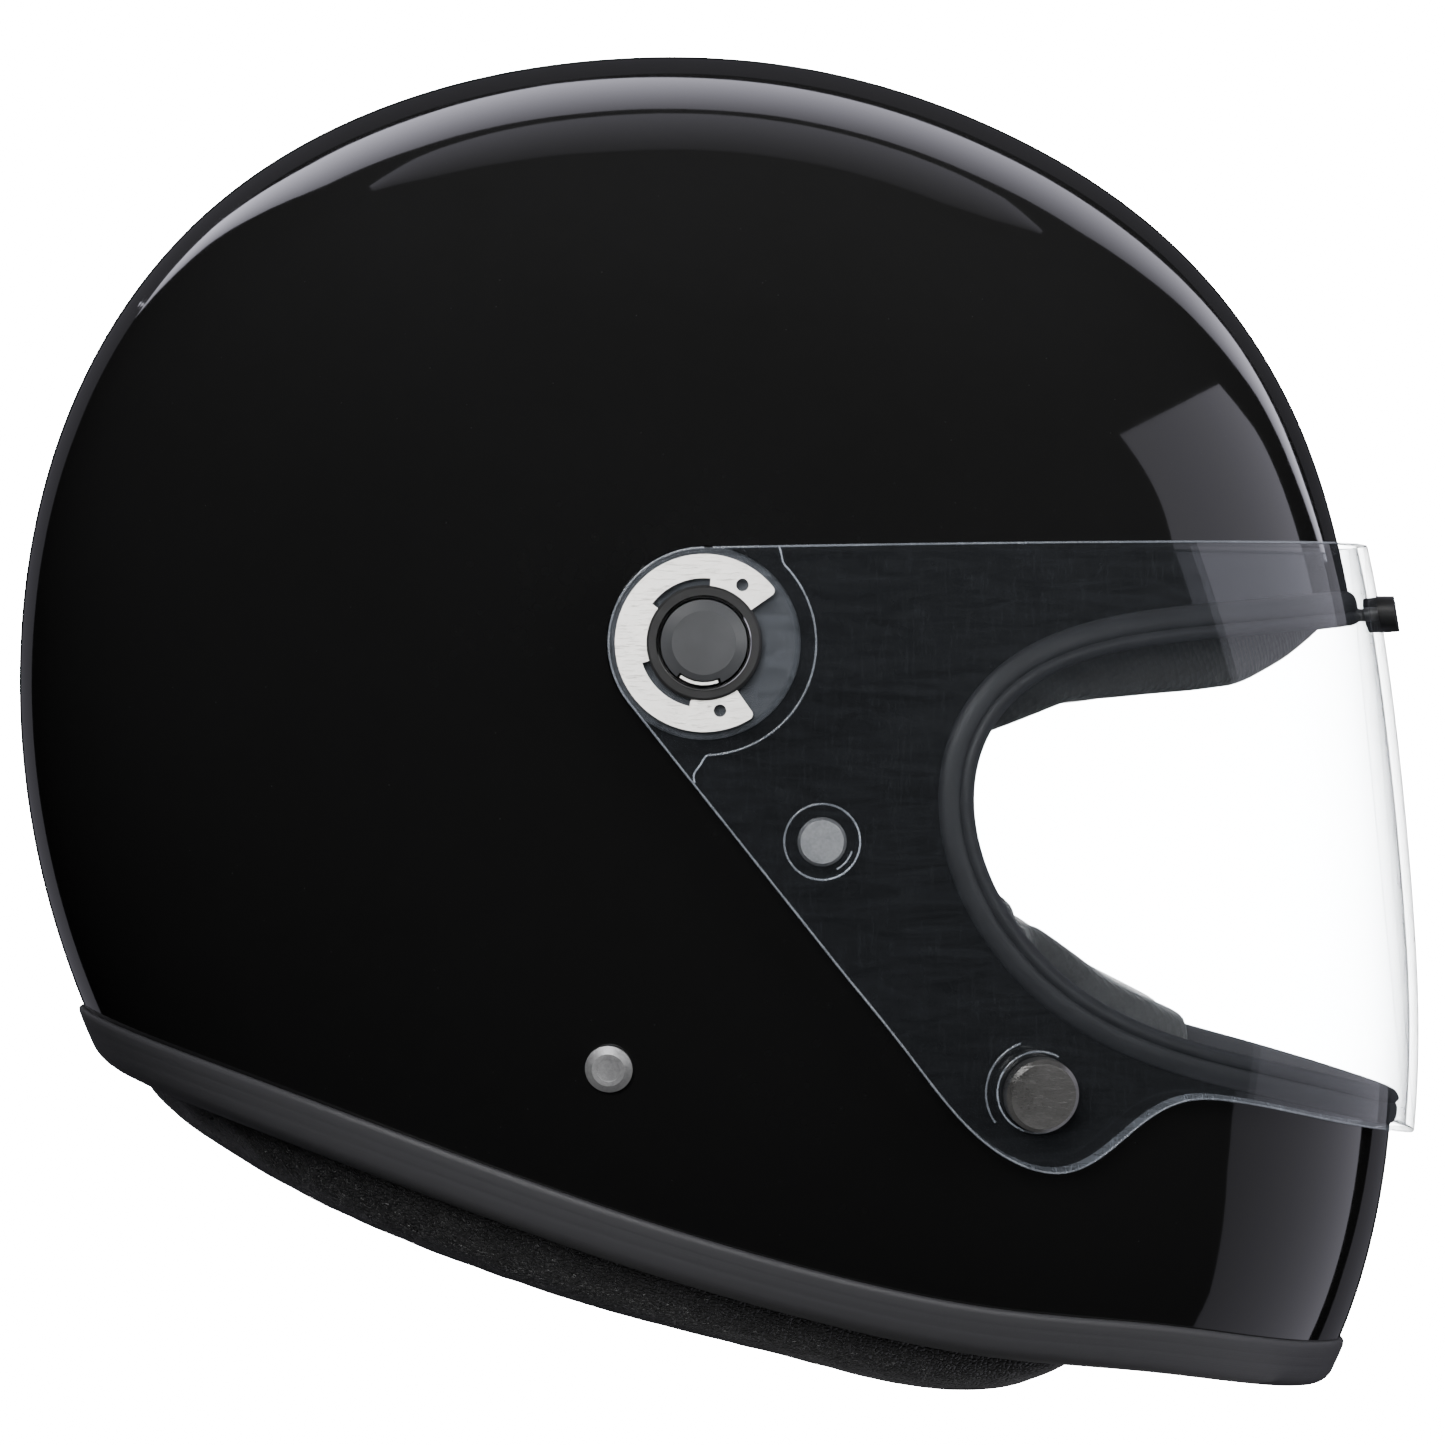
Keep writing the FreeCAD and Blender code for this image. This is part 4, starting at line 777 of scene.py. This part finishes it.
def neck_roll():
    section = [(0.0, 6.0), (0.25, 5.7), (0.5, 5.5), (0.68, 5.8), (0.80, 6.6), (0.89, 8.2),
               (0.955, 10.4), (0.99, 13.0), (1.0, 15.6), (0.985, 18.2), (0.93, 20.0),
               (0.82, 21.2), (0.6, 21.8), (0.3, 21.9), (0.0, 21.9)]
    count = 260
    rows = np.array([run_row(roll_row(share), -depth, -(5.5 + (depth - 5.5) * 1.3), count)
                     for share, depth in section])
    # creases: the leather puckers across the roll, most where it bends over its lower edge
    along = np.linspace(0, 1, count)
    for k in range(len(section)):
        out = normals(rows[k], -section[k][1])
        inward = 1.0 if k <= 8 else -1.0
        for i in range(1, count):
            p = Vector((along[i] * 26, k * 0.32, 2.0))
            pucker = noise.noise(p) + 0.5 * noise.noise(p * 2.3)
            fine = noise.noise(Vector((along[i] * 90, k * 0.9, 7.0)))
            size = 0.34 * math.sin(math.pi * min(k / 9.0, 1.0)) + 0.06
            rows[k][i] += out[i] * inward * (pucker * size + fine * 0.07)
        rows[k][0, 1] = 0.0
    half = rows.reshape(-1, 3)
    mirrored = half * np.array([1, -1, 1])
    k = len(section)
    faces = []
    for sign, start in ((1, 0), (-1, len(half))):
        end = [start + r * count + count - 1 for r in range(k)]
        found = quads(k, count, closed=False, hoop=True, start=start) + [end]
        faces += [f[::sign] for f in found]
    obj = from_faces("neck_roll_leather", np.concatenate([half, mirrored]), faces,
                     M["leather"], "helmet", True, ["neck_roll"])
    with editing(obj.data) as bm:
        seam = [v for v in bm.verts if abs(v.co.y) < 1e-6]
        bmesh.ops.remove_doubles(bm, verts=seam, dist=2e-5)
        bmesh.ops.recalc_face_normals(bm, faces=bm.faces)
    detail = obj.modifiers.new("detail", "SUBSURF")
    detail.levels = detail.render_levels = 1


neck_roll()


# ---------- foam and pads

def soft_copy(cad_name, name, voxel, smooth, material, swell=0.0, quilt=None,
              form=None):
    """A rounded, slightly crowned copy of a soft CAD solid."""
    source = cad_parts[cad_name]
    obj = bpy.data.objects.new(name, source.data.copy())
    bpy.context.scene.collection.objects.link(obj)
    obj.data.materials.clear()
    obj.data.materials.append(material)
    mod = obj.modifiers.new("remesh", "REMESH")
    mod.mode = "VOXEL"
    mod.voxel_size = voxel
    mod.use_smooth_shade = True
    mod = obj.modifiers.new("soften", "SMOOTH")
    mod.factor = 0.5
    mod.iterations = smooth
    bpy.context.view_layer.update()
    graph = bpy.context.evaluated_depsgraph_get()
    mesh = bpy.data.meshes.new_from_object(obj.evaluated_get(graph), depsgraph=graph)
    obj.modifiers.clear()
    obj.data = mesh
    with editing(mesh) as bm:
        bm.normal_update()
        moves = []
        for v in bm.verts:
            p = v.co
            lump = noise.noise(p * 32) * 0.0007 + noise.noise(p * 90) * 0.00025
            sew = quilt(p) if quilt else 0.0
            moves.append(v.normal * (swell + lump - sew))
        for v, move in zip(bm.verts, moves):
            v.co += move
            if form:
                v.co.z += form(v.co)
        for f in bm.faces:
            f.smooth = True
    if not mesh.materials:
        mesh.materials.append(material)
    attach(obj, "helmet")
    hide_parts(cad_name)


def channels(pitch, depth, across=(1, 0, 0), width=0.0011):
    """Sewn lines at an even pitch along a direction."""
    direction = Vector(across).normalized()

    def sew(p):
        place_along = p.dot(direction) / pitch
        off = abs(place_along - round(place_along)) * pitch
        return depth * math.exp(-(off / width) ** 2)
    return sew


soft_copy("impact_liner", "foam_shell_liner", 0.0024, 3, M["foam"])
soft_copy("chin_impact_liner", "foam_chin_liner", 0.0022, 3, M["foam"])
soft_copy("crown_pad", "crown_lining", 0.0019, 5, M["lining"], -0.0002,
          channels(0.034, 0.0022, (1, 0, 0.2)))


def brow_lift(p):
    """The band thins towards the front, so its lower edge curves up there."""
    ahead = max(0.0, (p.x - 0.112) / 0.024)
    low = min(1.0, max(0.0, (0.181 - p.z) / 0.018))
    return 0.009 * min(ahead, 1.15) ** 2 * low


soft_copy("brow_band", "brow_lining", 0.0019, 10, M["lining"], -0.0003,
          form=brow_lift)
for pad_side in ("right", "left"):
    soft_copy(pad_side + "_cheek_pad", pad_side + "_cheek_lining", 0.0020, 16, M["pads"],
              -0.0003, channels(0.030, 0.0020, (0.2, 0, 1)))


# ---------- chin strap

LEAN = math.radians(24.6)
STRAP_RUN = [(106.7, -12), (104.9, 0), (101.9, 14), (98.8, 26.5), (66, 41.5), (30, 54)]
STRAP_BENDS = [0, 60, 60, 5, 60, 40]


def lean(points):
    """From the strap's plane (width, across, level) to the side view's axes."""
    p = np.asarray(points, float).reshape(-1, 3)
    c, s = math.cos(LEAN), math.sin(LEAN)
    return np.stack([RIVET[0] + c * p[:, 0] - s * p[:, 2], p[:, 1],
                     RIVET[1] + s * p[:, 0] + c * p[:, 2]], 1)


def filleted(points, radii, pitch=0.8):
    """Even points along straight runs joined by tangent arcs."""
    p = np.array(points, float)
    path = [p[0]]
    for i in range(1, len(p) - 1):
        before = (p[i - 1] - p[i]) / np.linalg.norm(p[i - 1] - p[i])
        after = (p[i + 1] - p[i]) / np.linalg.norm(p[i + 1] - p[i])
        half = math.acos(max(-1, min(1, float(before @ after)))) / 2
        radius = radii[i]
        trim_at = radius / math.tan(half)
        middle = (before + after) / np.linalg.norm(before + after)
        centre = p[i] + middle * radius / math.sin(half)
        a, b = p[i] + before * trim_at, p[i] + after * trim_at
        ua, ub = (a - centre) / radius, (b - centre) / radius
        sweep = math.acos(max(-1, min(1, float(ua @ ub))))
        n = max(3, int(sweep * radius / pitch) + 2)
        for k in range(n + 1):
            f = k / n
            w1 = math.sin((1 - f) * sweep) / math.sin(sweep)
            w2 = math.sin(f * sweep) / math.sin(sweep)
            path.append(centre + radius * (ua * w1 + ub * w2))
    path.append(p[-1])
    path = np.array(path)
    keep = np.concatenate([[True], np.linalg.norm(np.diff(path, axis=0), axis=1) > 1e-6])
    path = path[keep]
    run = np.concatenate([[0], np.cumsum(np.linalg.norm(np.diff(path, axis=0), axis=1))])
    want = np.linspace(0, run[-1], max(3, int(run[-1] / pitch)))
    return np.stack([np.interp(want, run, path[:, k]) for k in range(path.shape[1])], 1), run[-1]


def ribbon(name, line, stands_for, edge=0.75):
    """Woven band along a line of (across, level): its edges are rounded and a little thinner."""
    spots, length = filleted(*line)
    along = np.gradient(spots, axis=0)
    along /= np.linalg.norm(along, axis=1, keepdims=True)
    rise = np.stack([-along[:, 1], along[:, 0]], 1)
    half = STRAP_WIDE / 2
    shape = [(-half, 0.0), (-half + 0.12, 0.5), (-half + edge, 0.92), (-half + 2.2, 1.0),
             (-half + 3.0, 0.86), (-half * 0.5, 0.98), (0, 1.0), (half * 0.5, 0.98),
             (half - 3.0, 0.86), (half - 2.2, 1.0), (half - edge, 0.92), (half - 0.12, 0.5)]
    loop = shape + [(half, 0.0)] + [(x, -t) for x, t in reversed(shape[1:])]
    k = len(loop)
    rows = []
    for i, (y, level) in enumerate(spots):
        for x, t in loop:
            lift = t * STRAP_THICK / 2 * (1 + 0.03 * math.sin(i * 2.1))
            rows.append((x, y + rise[i, 0] * lift, level + rise[i, 1] * lift))
    n = len(spots)
    obj = from_faces(name, lean(rows), quads(n, k) + ends(n, k), M["web"], "helmet",
                     True, stands_for)
    sharpen(obj, 60)
    uv = obj.data.uv_layers.new(name="weave")
    for loop_item in obj.data.loops:
        r, i = divmod(loop_item.vertex_index, k)
        uv.data[loop_item.index].uv = (loop[i][0] / STRAP_WIDE + 0.5, r / n * length / STRAP_WIDE)
    return spots, rise


def stitches(name, marks, radius=0.32, tall=1.5):
    """Short thread bars: marks are (centre, direction) pairs in the side view's axes."""
    points, faces = [], []
    for centre, direction in marks:
        d = Vector(direction).normalized()
        u = d.orthogonal().normalized()
        w = d.cross(u)
        start = len(points)
        for along, share in ((-1, 0.35), (-0.6, 1.0), (0.6, 1.0), (1, 0.35)):
            for turn in range(6):
                a = turn * math.pi / 3
                spot = (Vector(centre) + d * (along * tall)
                        + (u * math.cos(a) + w * math.sin(a)) * radius * share)
                points.append(tuple(spot))
        faces += quads(4, 6, start=start) + ends(4, 6, start)
    from_faces(name, points, faces, M["thread"], "helmet")


def strap_stitches(name, spots, rise, picks):
    marks = []
    for i in picks:
        y, level = spots[i]
        for x in (-8.2, -4.0, 0.0, 4.0, 8.2):
            for sign in (-1, 1):
                lift = sign * (STRAP_THICK / 2 + 0.05)
                centre = lean([(x, y + rise[i, 0] * lift, level + rise[i, 1] * lift)])[0]
                side_way = lean([(x + 1, y, level)])[0] - lean([(x, y, level)])[0]
                marks.append((tuple(centre), tuple(side_way)))
    stitches(name, marks)


RUN, FOLD, LOOP, BAR = -54.0, 3.1, 3.2, 44.0
RING_SIDE, RING_HALF, UPPER_RING, LOWER_RING = 9.0, 15.0, -57.1, -63.4
right_run = [(-y, -below) for y, below in STRAP_RUN]
turn_at = BAR - RING_SIDE - RING_HALF + 2 * FOLD + 1.9
long_line = right_run + [(turn_at, RUN), (turn_at, RUN - 2 * FOLD), (-36, RUN - 2 * FOLD)]
spots, rise = ribbon("strap_long", (long_line, STRAP_BENDS + [FOLD, FOLD, 0]), ["long_strap"])
first = int(np.argmin(np.abs(spots[:, 1] + 28.0)))
strap_stitches("strap_long_thread", spots, rise, (10, 16, first, first + 5))
left_run = [(y, -below) for y, below in STRAP_RUN[:5]]
top_level, foot_level = UPPER_RING + LOOP, LOWER_RING - LOOP
short_line = left_run + [(BAR + 3.5, top_level), (BAR - LOOP, top_level), (BAR - LOOP, foot_level),
                         (BAR + 4.5, foot_level), (BAR + 16.5, top_level + 6)]
spots, rise = ribbon("strap_short", (short_line, STRAP_BENDS[:5] + [8, LOOP, LOOP, 4, 0]),
                     ["short_strap"])
strap_stitches("strap_short_thread", spots, rise, (10, 16, len(spots) - 6, len(spots) - 12))

SLEEVE_START, SLEEVE_END = 60.0, 36.0


def sleeve_spot(across):
    """Place on the long strap's last straight run, that far from the middle plane."""
    (ya, ba), (yb, bb) = STRAP_RUN[-2:]
    f = (across - ya) / (yb - ya)
    return -across, -(ba + (bb - ba) * f)


def sleeve():
    """Padded knit round the long strap, with sewn edges."""
    start, stop = np.array(sleeve_spot(SLEEVE_START)), np.array(sleeve_spot(SLEEVE_END))
    along = (stop - start) / np.linalg.norm(stop - start)
    rise = np.array([-along[1], along[0]])
    around, steps = 44, 15
    rows = []
    for r in range(steps):
        f = r / (steps - 1)
        spot = start + (stop - start) * f
        end = min(f, 1 - f)
        plump = 1.0 - 0.28 * math.exp(-end * 22)
        for k in range(around):
            a = 2 * math.pi * k / around
            x = 16.0 * math.copysign(abs(math.cos(a)) ** 0.45, math.cos(a))
            t = 3.5 * math.copysign(abs(math.sin(a)) ** 0.7, math.sin(a)) * plump
            t *= 1 - 0.30 * math.exp(-((abs(x) - 12.2) / 0.7) ** 2)
            t += 0.18 * noise.noise(Vector((x * 0.25, f * 5, 3 if t > 0 else 9)))
            q = spot + rise * t
            rows.append((x * (0.97 + 0.03 * plump), q[0], q[1]))
    obj = from_faces("strap_sleeve", lean(rows), quads(steps, around) + ends(steps, around),
                     M["pads"], "helmet", True, ["strap_pad"])
    sharpen(obj, 55)


sleeve()


# ---------- camera, floor and light

scene = bpy.context.scene
camera = bpy.data.objects.new("camera", bpy.data.cameras.new("camera"))
camera.data.sensor_width = 36
camera.data.lens = 216.6
camera.location = place(EYE)[0].tolist()
camera.rotation_euler = (math.radians(90), 0, 0)
camera.data.clip_start, camera.data.clip_end = 0.05, 60
scene.collection.objects.link(camera)
scene.camera = camera

world = bpy.data.worlds.new("studio")
scene.world = world
world.use_nodes = True
world.node_tree.nodes["Background"].inputs["Color"].default_value = (1, 1, 1, 1)
world.node_tree.nodes["Background"].inputs["Strength"].default_value = 26.0
for ray in ("diffuse", "glossy", "transmission", "scatter"):
    setattr(world.cycles_visibility, ray, False)


def lamp(name, spot, aim, width, tall, power, glossy):
    data = bpy.data.lights.new(name, "AREA")
    data.shape = "RECTANGLE"
    data.size, data.size_y = width, tall
    data.energy = power
    obj = bpy.data.objects.new(name, data)
    obj.location = spot
    obj.rotation_euler = (Vector(aim) - Vector(spot)).to_track_quat("-Z", "Y").to_euler()
    obj.visible_camera = False
    obj.visible_glossy = glossy
    obj.visible_transmission = False
    scene.collection.objects.link(obj)
    return obj


lamp("fill_top", (0, 0.2, 2.4), (0, 0, 0.1), 2.6, 2.6, 55, False)
lamp("fill_front", (-0.5, -2.2, 1.0), (0, 0, 0.15), 1.6, 1.2, 26, False)
lamp("fill_side", (2.0, -0.6, 0.6), (0, 0, 0.15), 1.0, 1.4, 14, False)
all_but_gloss = bpy.data.collections.new("all_but_gloss")
for key_name, key_spot, key_power in (("key_left", (-0.5, -1.9, 1.1), 35),
                                      ("key_right", (1.4, -1.5, 0.5), 10),
                                      ("key_floor", (0.0, -0.55, 0.004), 0.5)):
    key = lamp(key_name, key_spot, (0, 0, 0.15), 1.3, 1.0, key_power, True)
    if key_name == "key_floor":
        key.rotation_euler = (math.pi, 0, 0)
    key.light_linking.receiver_collection = all_but_gloss
glow_in = lamp("glow_inside", (0.085, -0.02, 0.125), (0.11, 0.11, 0.085), 0.05, 0.05, 0.4, False)
glow_in.light_linking.receiver_collection = all_but_gloss
clips_only = bpy.data.collections.new("clips_only")
clip_key = lamp("key_clips", (-0.25, -2.6, 0.35), (0, 0, 0.17), 0.9, 0.7, 12, True)
clip_key.light_linking.receiver_collection = clips_only


def mirror_panel(name, strength, shade, spans, distance=2500.0, steps=6):
    """Glowing panel shaped so that its reflection in the shell follows the outline: spans are
    (bearing, inner share, outer share, gain) of the outline's radius as the camera sees it,
    and shade is the glow at the inner and the outer edge."""
    spans = np.array(spans, float)
    bearings = np.radians(np.linspace(spans[0, 0], spans[-1, 0], 4 * (len(spans) - 1) + 1))
    low = np.interp(np.degrees(bearings), spans[:, 0], spans[:, 1])
    high = np.interp(np.degrees(bearings), spans[:, 0], spans[:, 2])
    gain = np.interp(np.degrees(bearings), spans[:, 0], spans[:, 3])
    rows = []
    for k in range(steps + 1):
        share = low + (high - low) * k / steps
        r = share * reach(bearings)
        seen_x, seen_z = r * np.cos(bearings), r * np.sin(bearings)
        x, z = seen_x, seen_z
        for _ in range(12):
            nearer = 1 + height(x, z, 0.0) / EYE[1]
            x = EYE[0] + (seen_x - EYE[0]) * nearer
            z = EYE[2] + (seen_z - EYE[2]) * nearer
        p = np.stack([x, -height(x, z, 0.0), z], 1)
        n = normals(p, 0.0)
        v = p - EYE
        v /= np.linalg.norm(v, axis=1, keepdims=True)
        out = v - 2 * (v * n).sum(1)[:, None] * n
        b = (p * out).sum(1)
        c = (p * p).sum(1) - distance ** 2
        rows.append(p + out * (-b + np.sqrt(b * b - c))[:, None])
    m = len(bearings)
    mesh = bpy.data.meshes.new(name)
    mesh.from_pydata(place(np.concatenate(rows)).tolist(), [], quads(steps + 1, m, closed=False))
    material = bpy.data.materials.new(name)
    material.use_nodes = True
    t = material.node_tree
    t.nodes.clear()
    glow = node(t, "ShaderNodeEmission", Strength=strength)
    end = t.nodes.new("ShaderNodeOutputMaterial")
    t.links.new(glow.outputs[0], end.inputs["Surface"])
    fade = mesh.color_attributes.new("fade", "FLOAT_COLOR", "POINT")
    for r in range(steps + 1):
        value = shade[0] + (shade[1] - shade[0]) * r / steps
        for i in range(m):
            v = value * gain[i]
            fade.data[r * m + i].color = (v * 0.99, v * 0.97, v * 1.12, 1)
    source = node(t, "ShaderNodeVertexColor", layer_name="fade")
    t.links.new(source.outputs["Color"], glow.inputs["Color"])
    mesh.materials.append(material)
    obj = bpy.data.objects.new(name, mesh)
    scene.collection.objects.link(obj)
    for ray in ("camera", "diffuse", "shadow", "transmission"):
        setattr(obj, "visible_" + ray, False)
    obj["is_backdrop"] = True


mirror_panel("light_arc", 1.5, (0.36, 1.0), [
    (8, 0.974, 0.980, 1.5), (11, 0.971, 0.979, 1.5), (16, 0.966, 0.976, 1.5),
    (24, 0.962, 0.977, 1.3), (30, 0.952, 0.977, 1.1), (36, 0.942, 0.973, 0.9),
    (42, 0.930, 0.969, 0.9), (48, 0.921, 0.967, 0.9), (60, 0.916, 0.966, 0.9),
    (75, 0.914, 0.966, 0.95), (90, 0.914, 0.967, 1.0), (105, 0.916, 0.970, 1.1),
    (120, 0.921, 0.968, 1.3), (130, 0.929, 0.969, 1.5), (140, 0.963, 0.979, 1.6),
    (150, 0.980, 0.988, 1.6), (160, 0.989, 0.994, 1.6)])
mirror_panel("light_dim", 1.0, (0.09, 0.42), [
    (51, 0.882, 0.888, 1.0), (56, 0.862, 0.903, 1.0), (62, 0.850, 0.906, 1.0),
    (80, 0.845, 0.906, 1.0), (100, 0.846, 0.907, 1.0), (112, 0.856, 0.909, 1.1),
    (120, 0.868, 0.908, 1.1), (126, 0.885, 0.895, 1.1)])
mirror_panel("light_side", 0.86, (0.80, 0.78), [
    (-10, 0.785, 0.950, 0.9), (4, 0.762, 0.948, 1.0), (12, 0.751, 0.944, 1.0),
    (17, 0.754, 0.941, 1.0), (21, 0.751, 0.937, 1.0), (27.2, 0.741, 0.918, 1.0)])
mirror_panel("light_low", 0.86, (0.34, 0.62), [
    (-66, 0.880, 0.975, 1.1), (-53, 0.855, 0.972, 1.1), (-43, 0.793, 0.968, 1.0),
    (-30, 0.785, 0.960, 1.0), (-10, 0.785, 0.950, 1.0)])
mirror_panel("far_haze", 0.045, (1.0, 1.0), [
    (-70, 0.980, 0.9999, 2.4), (-35, 0.978, 0.9999, 2.2), (0, 0.985, 0.9999, 1.0),
    (60, 0.974, 0.9999, 1.0), (120, 0.974, 0.9999, 1.0), (180, 0.985, 0.9999, 2.0),
    (215, 0.984, 0.9999, 3.0), (290, 0.985, 0.9999, 1.0)])

bpy.ops.mesh.primitive_circle_add(vertices=96, radius=1.1, fill_type="NGON", location=(0, 0, 0))
floor = bpy.context.object
floor.name = "floor"
fm, ft, fs = mat("floor_pale", Roughness=0.6)
feed(ft, fs, Base_Color=ramp(ft, fog(ft, 3, 4), (0.3, 0.90), (0.7, 0.93)))
fs.inputs["Emission Color"].default_value = (1, 1, 1, 1)
fs.inputs["Emission Strength"].default_value = 24.0
floor.data.materials.append(fm)
floor.visible_glossy = False
floor.visible_diffuse = False
floor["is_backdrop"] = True

# ---------- finish

def dress(cad_name, look):
    """Gives a CAD piece its own detailed material in place of the plain one."""
    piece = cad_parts[cad_name]
    piece.data.materials.clear()
    piece.data.materials.append(M[look])
    return piece


for cad_name, look in (("pivot_hub", "hub"), ("pivot_base", "base"), ("pivot_bezel", "chrome"),
                       ("pivot_button", "button"), ("latch_tab", "clip"), ("pivot_clip", "clip"),
                       ("pivot_screw", "zinc"), ("pivot_nut", "zinc"), ("button_spring", "wire"),
                       ("visor_stud", "zinc"), ("strap_rivet", "zinc"), ("snap_stud", "zinc"),
                       ("visor_snap_cap", "snap")):
    for side_name in ("right", "left"):
        piece = dress(side_name + "_" + cad_name, look)
        all_but_gloss.objects.link(piece)
        if look in ("clip", "snap", "zinc"):
            clips_only.objects.link(piece)
for cad_name, look in (("visor_tab", "tab"), ("visor_tab_screws", "zinc"),
                       ("cheek_pad_studs", "stud"), ("strap_press_socket", "stud"),
                       ("strap_press_stud", "stud"), ("inner_d_ring", "steel"),
                       ("outer_d_ring", "steel")):
    dress(cad_name, look)
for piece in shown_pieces():
    if piece not in (shell, visor) and piece.name not in all_but_gloss.objects:
        all_but_gloss.objects.link(piece)
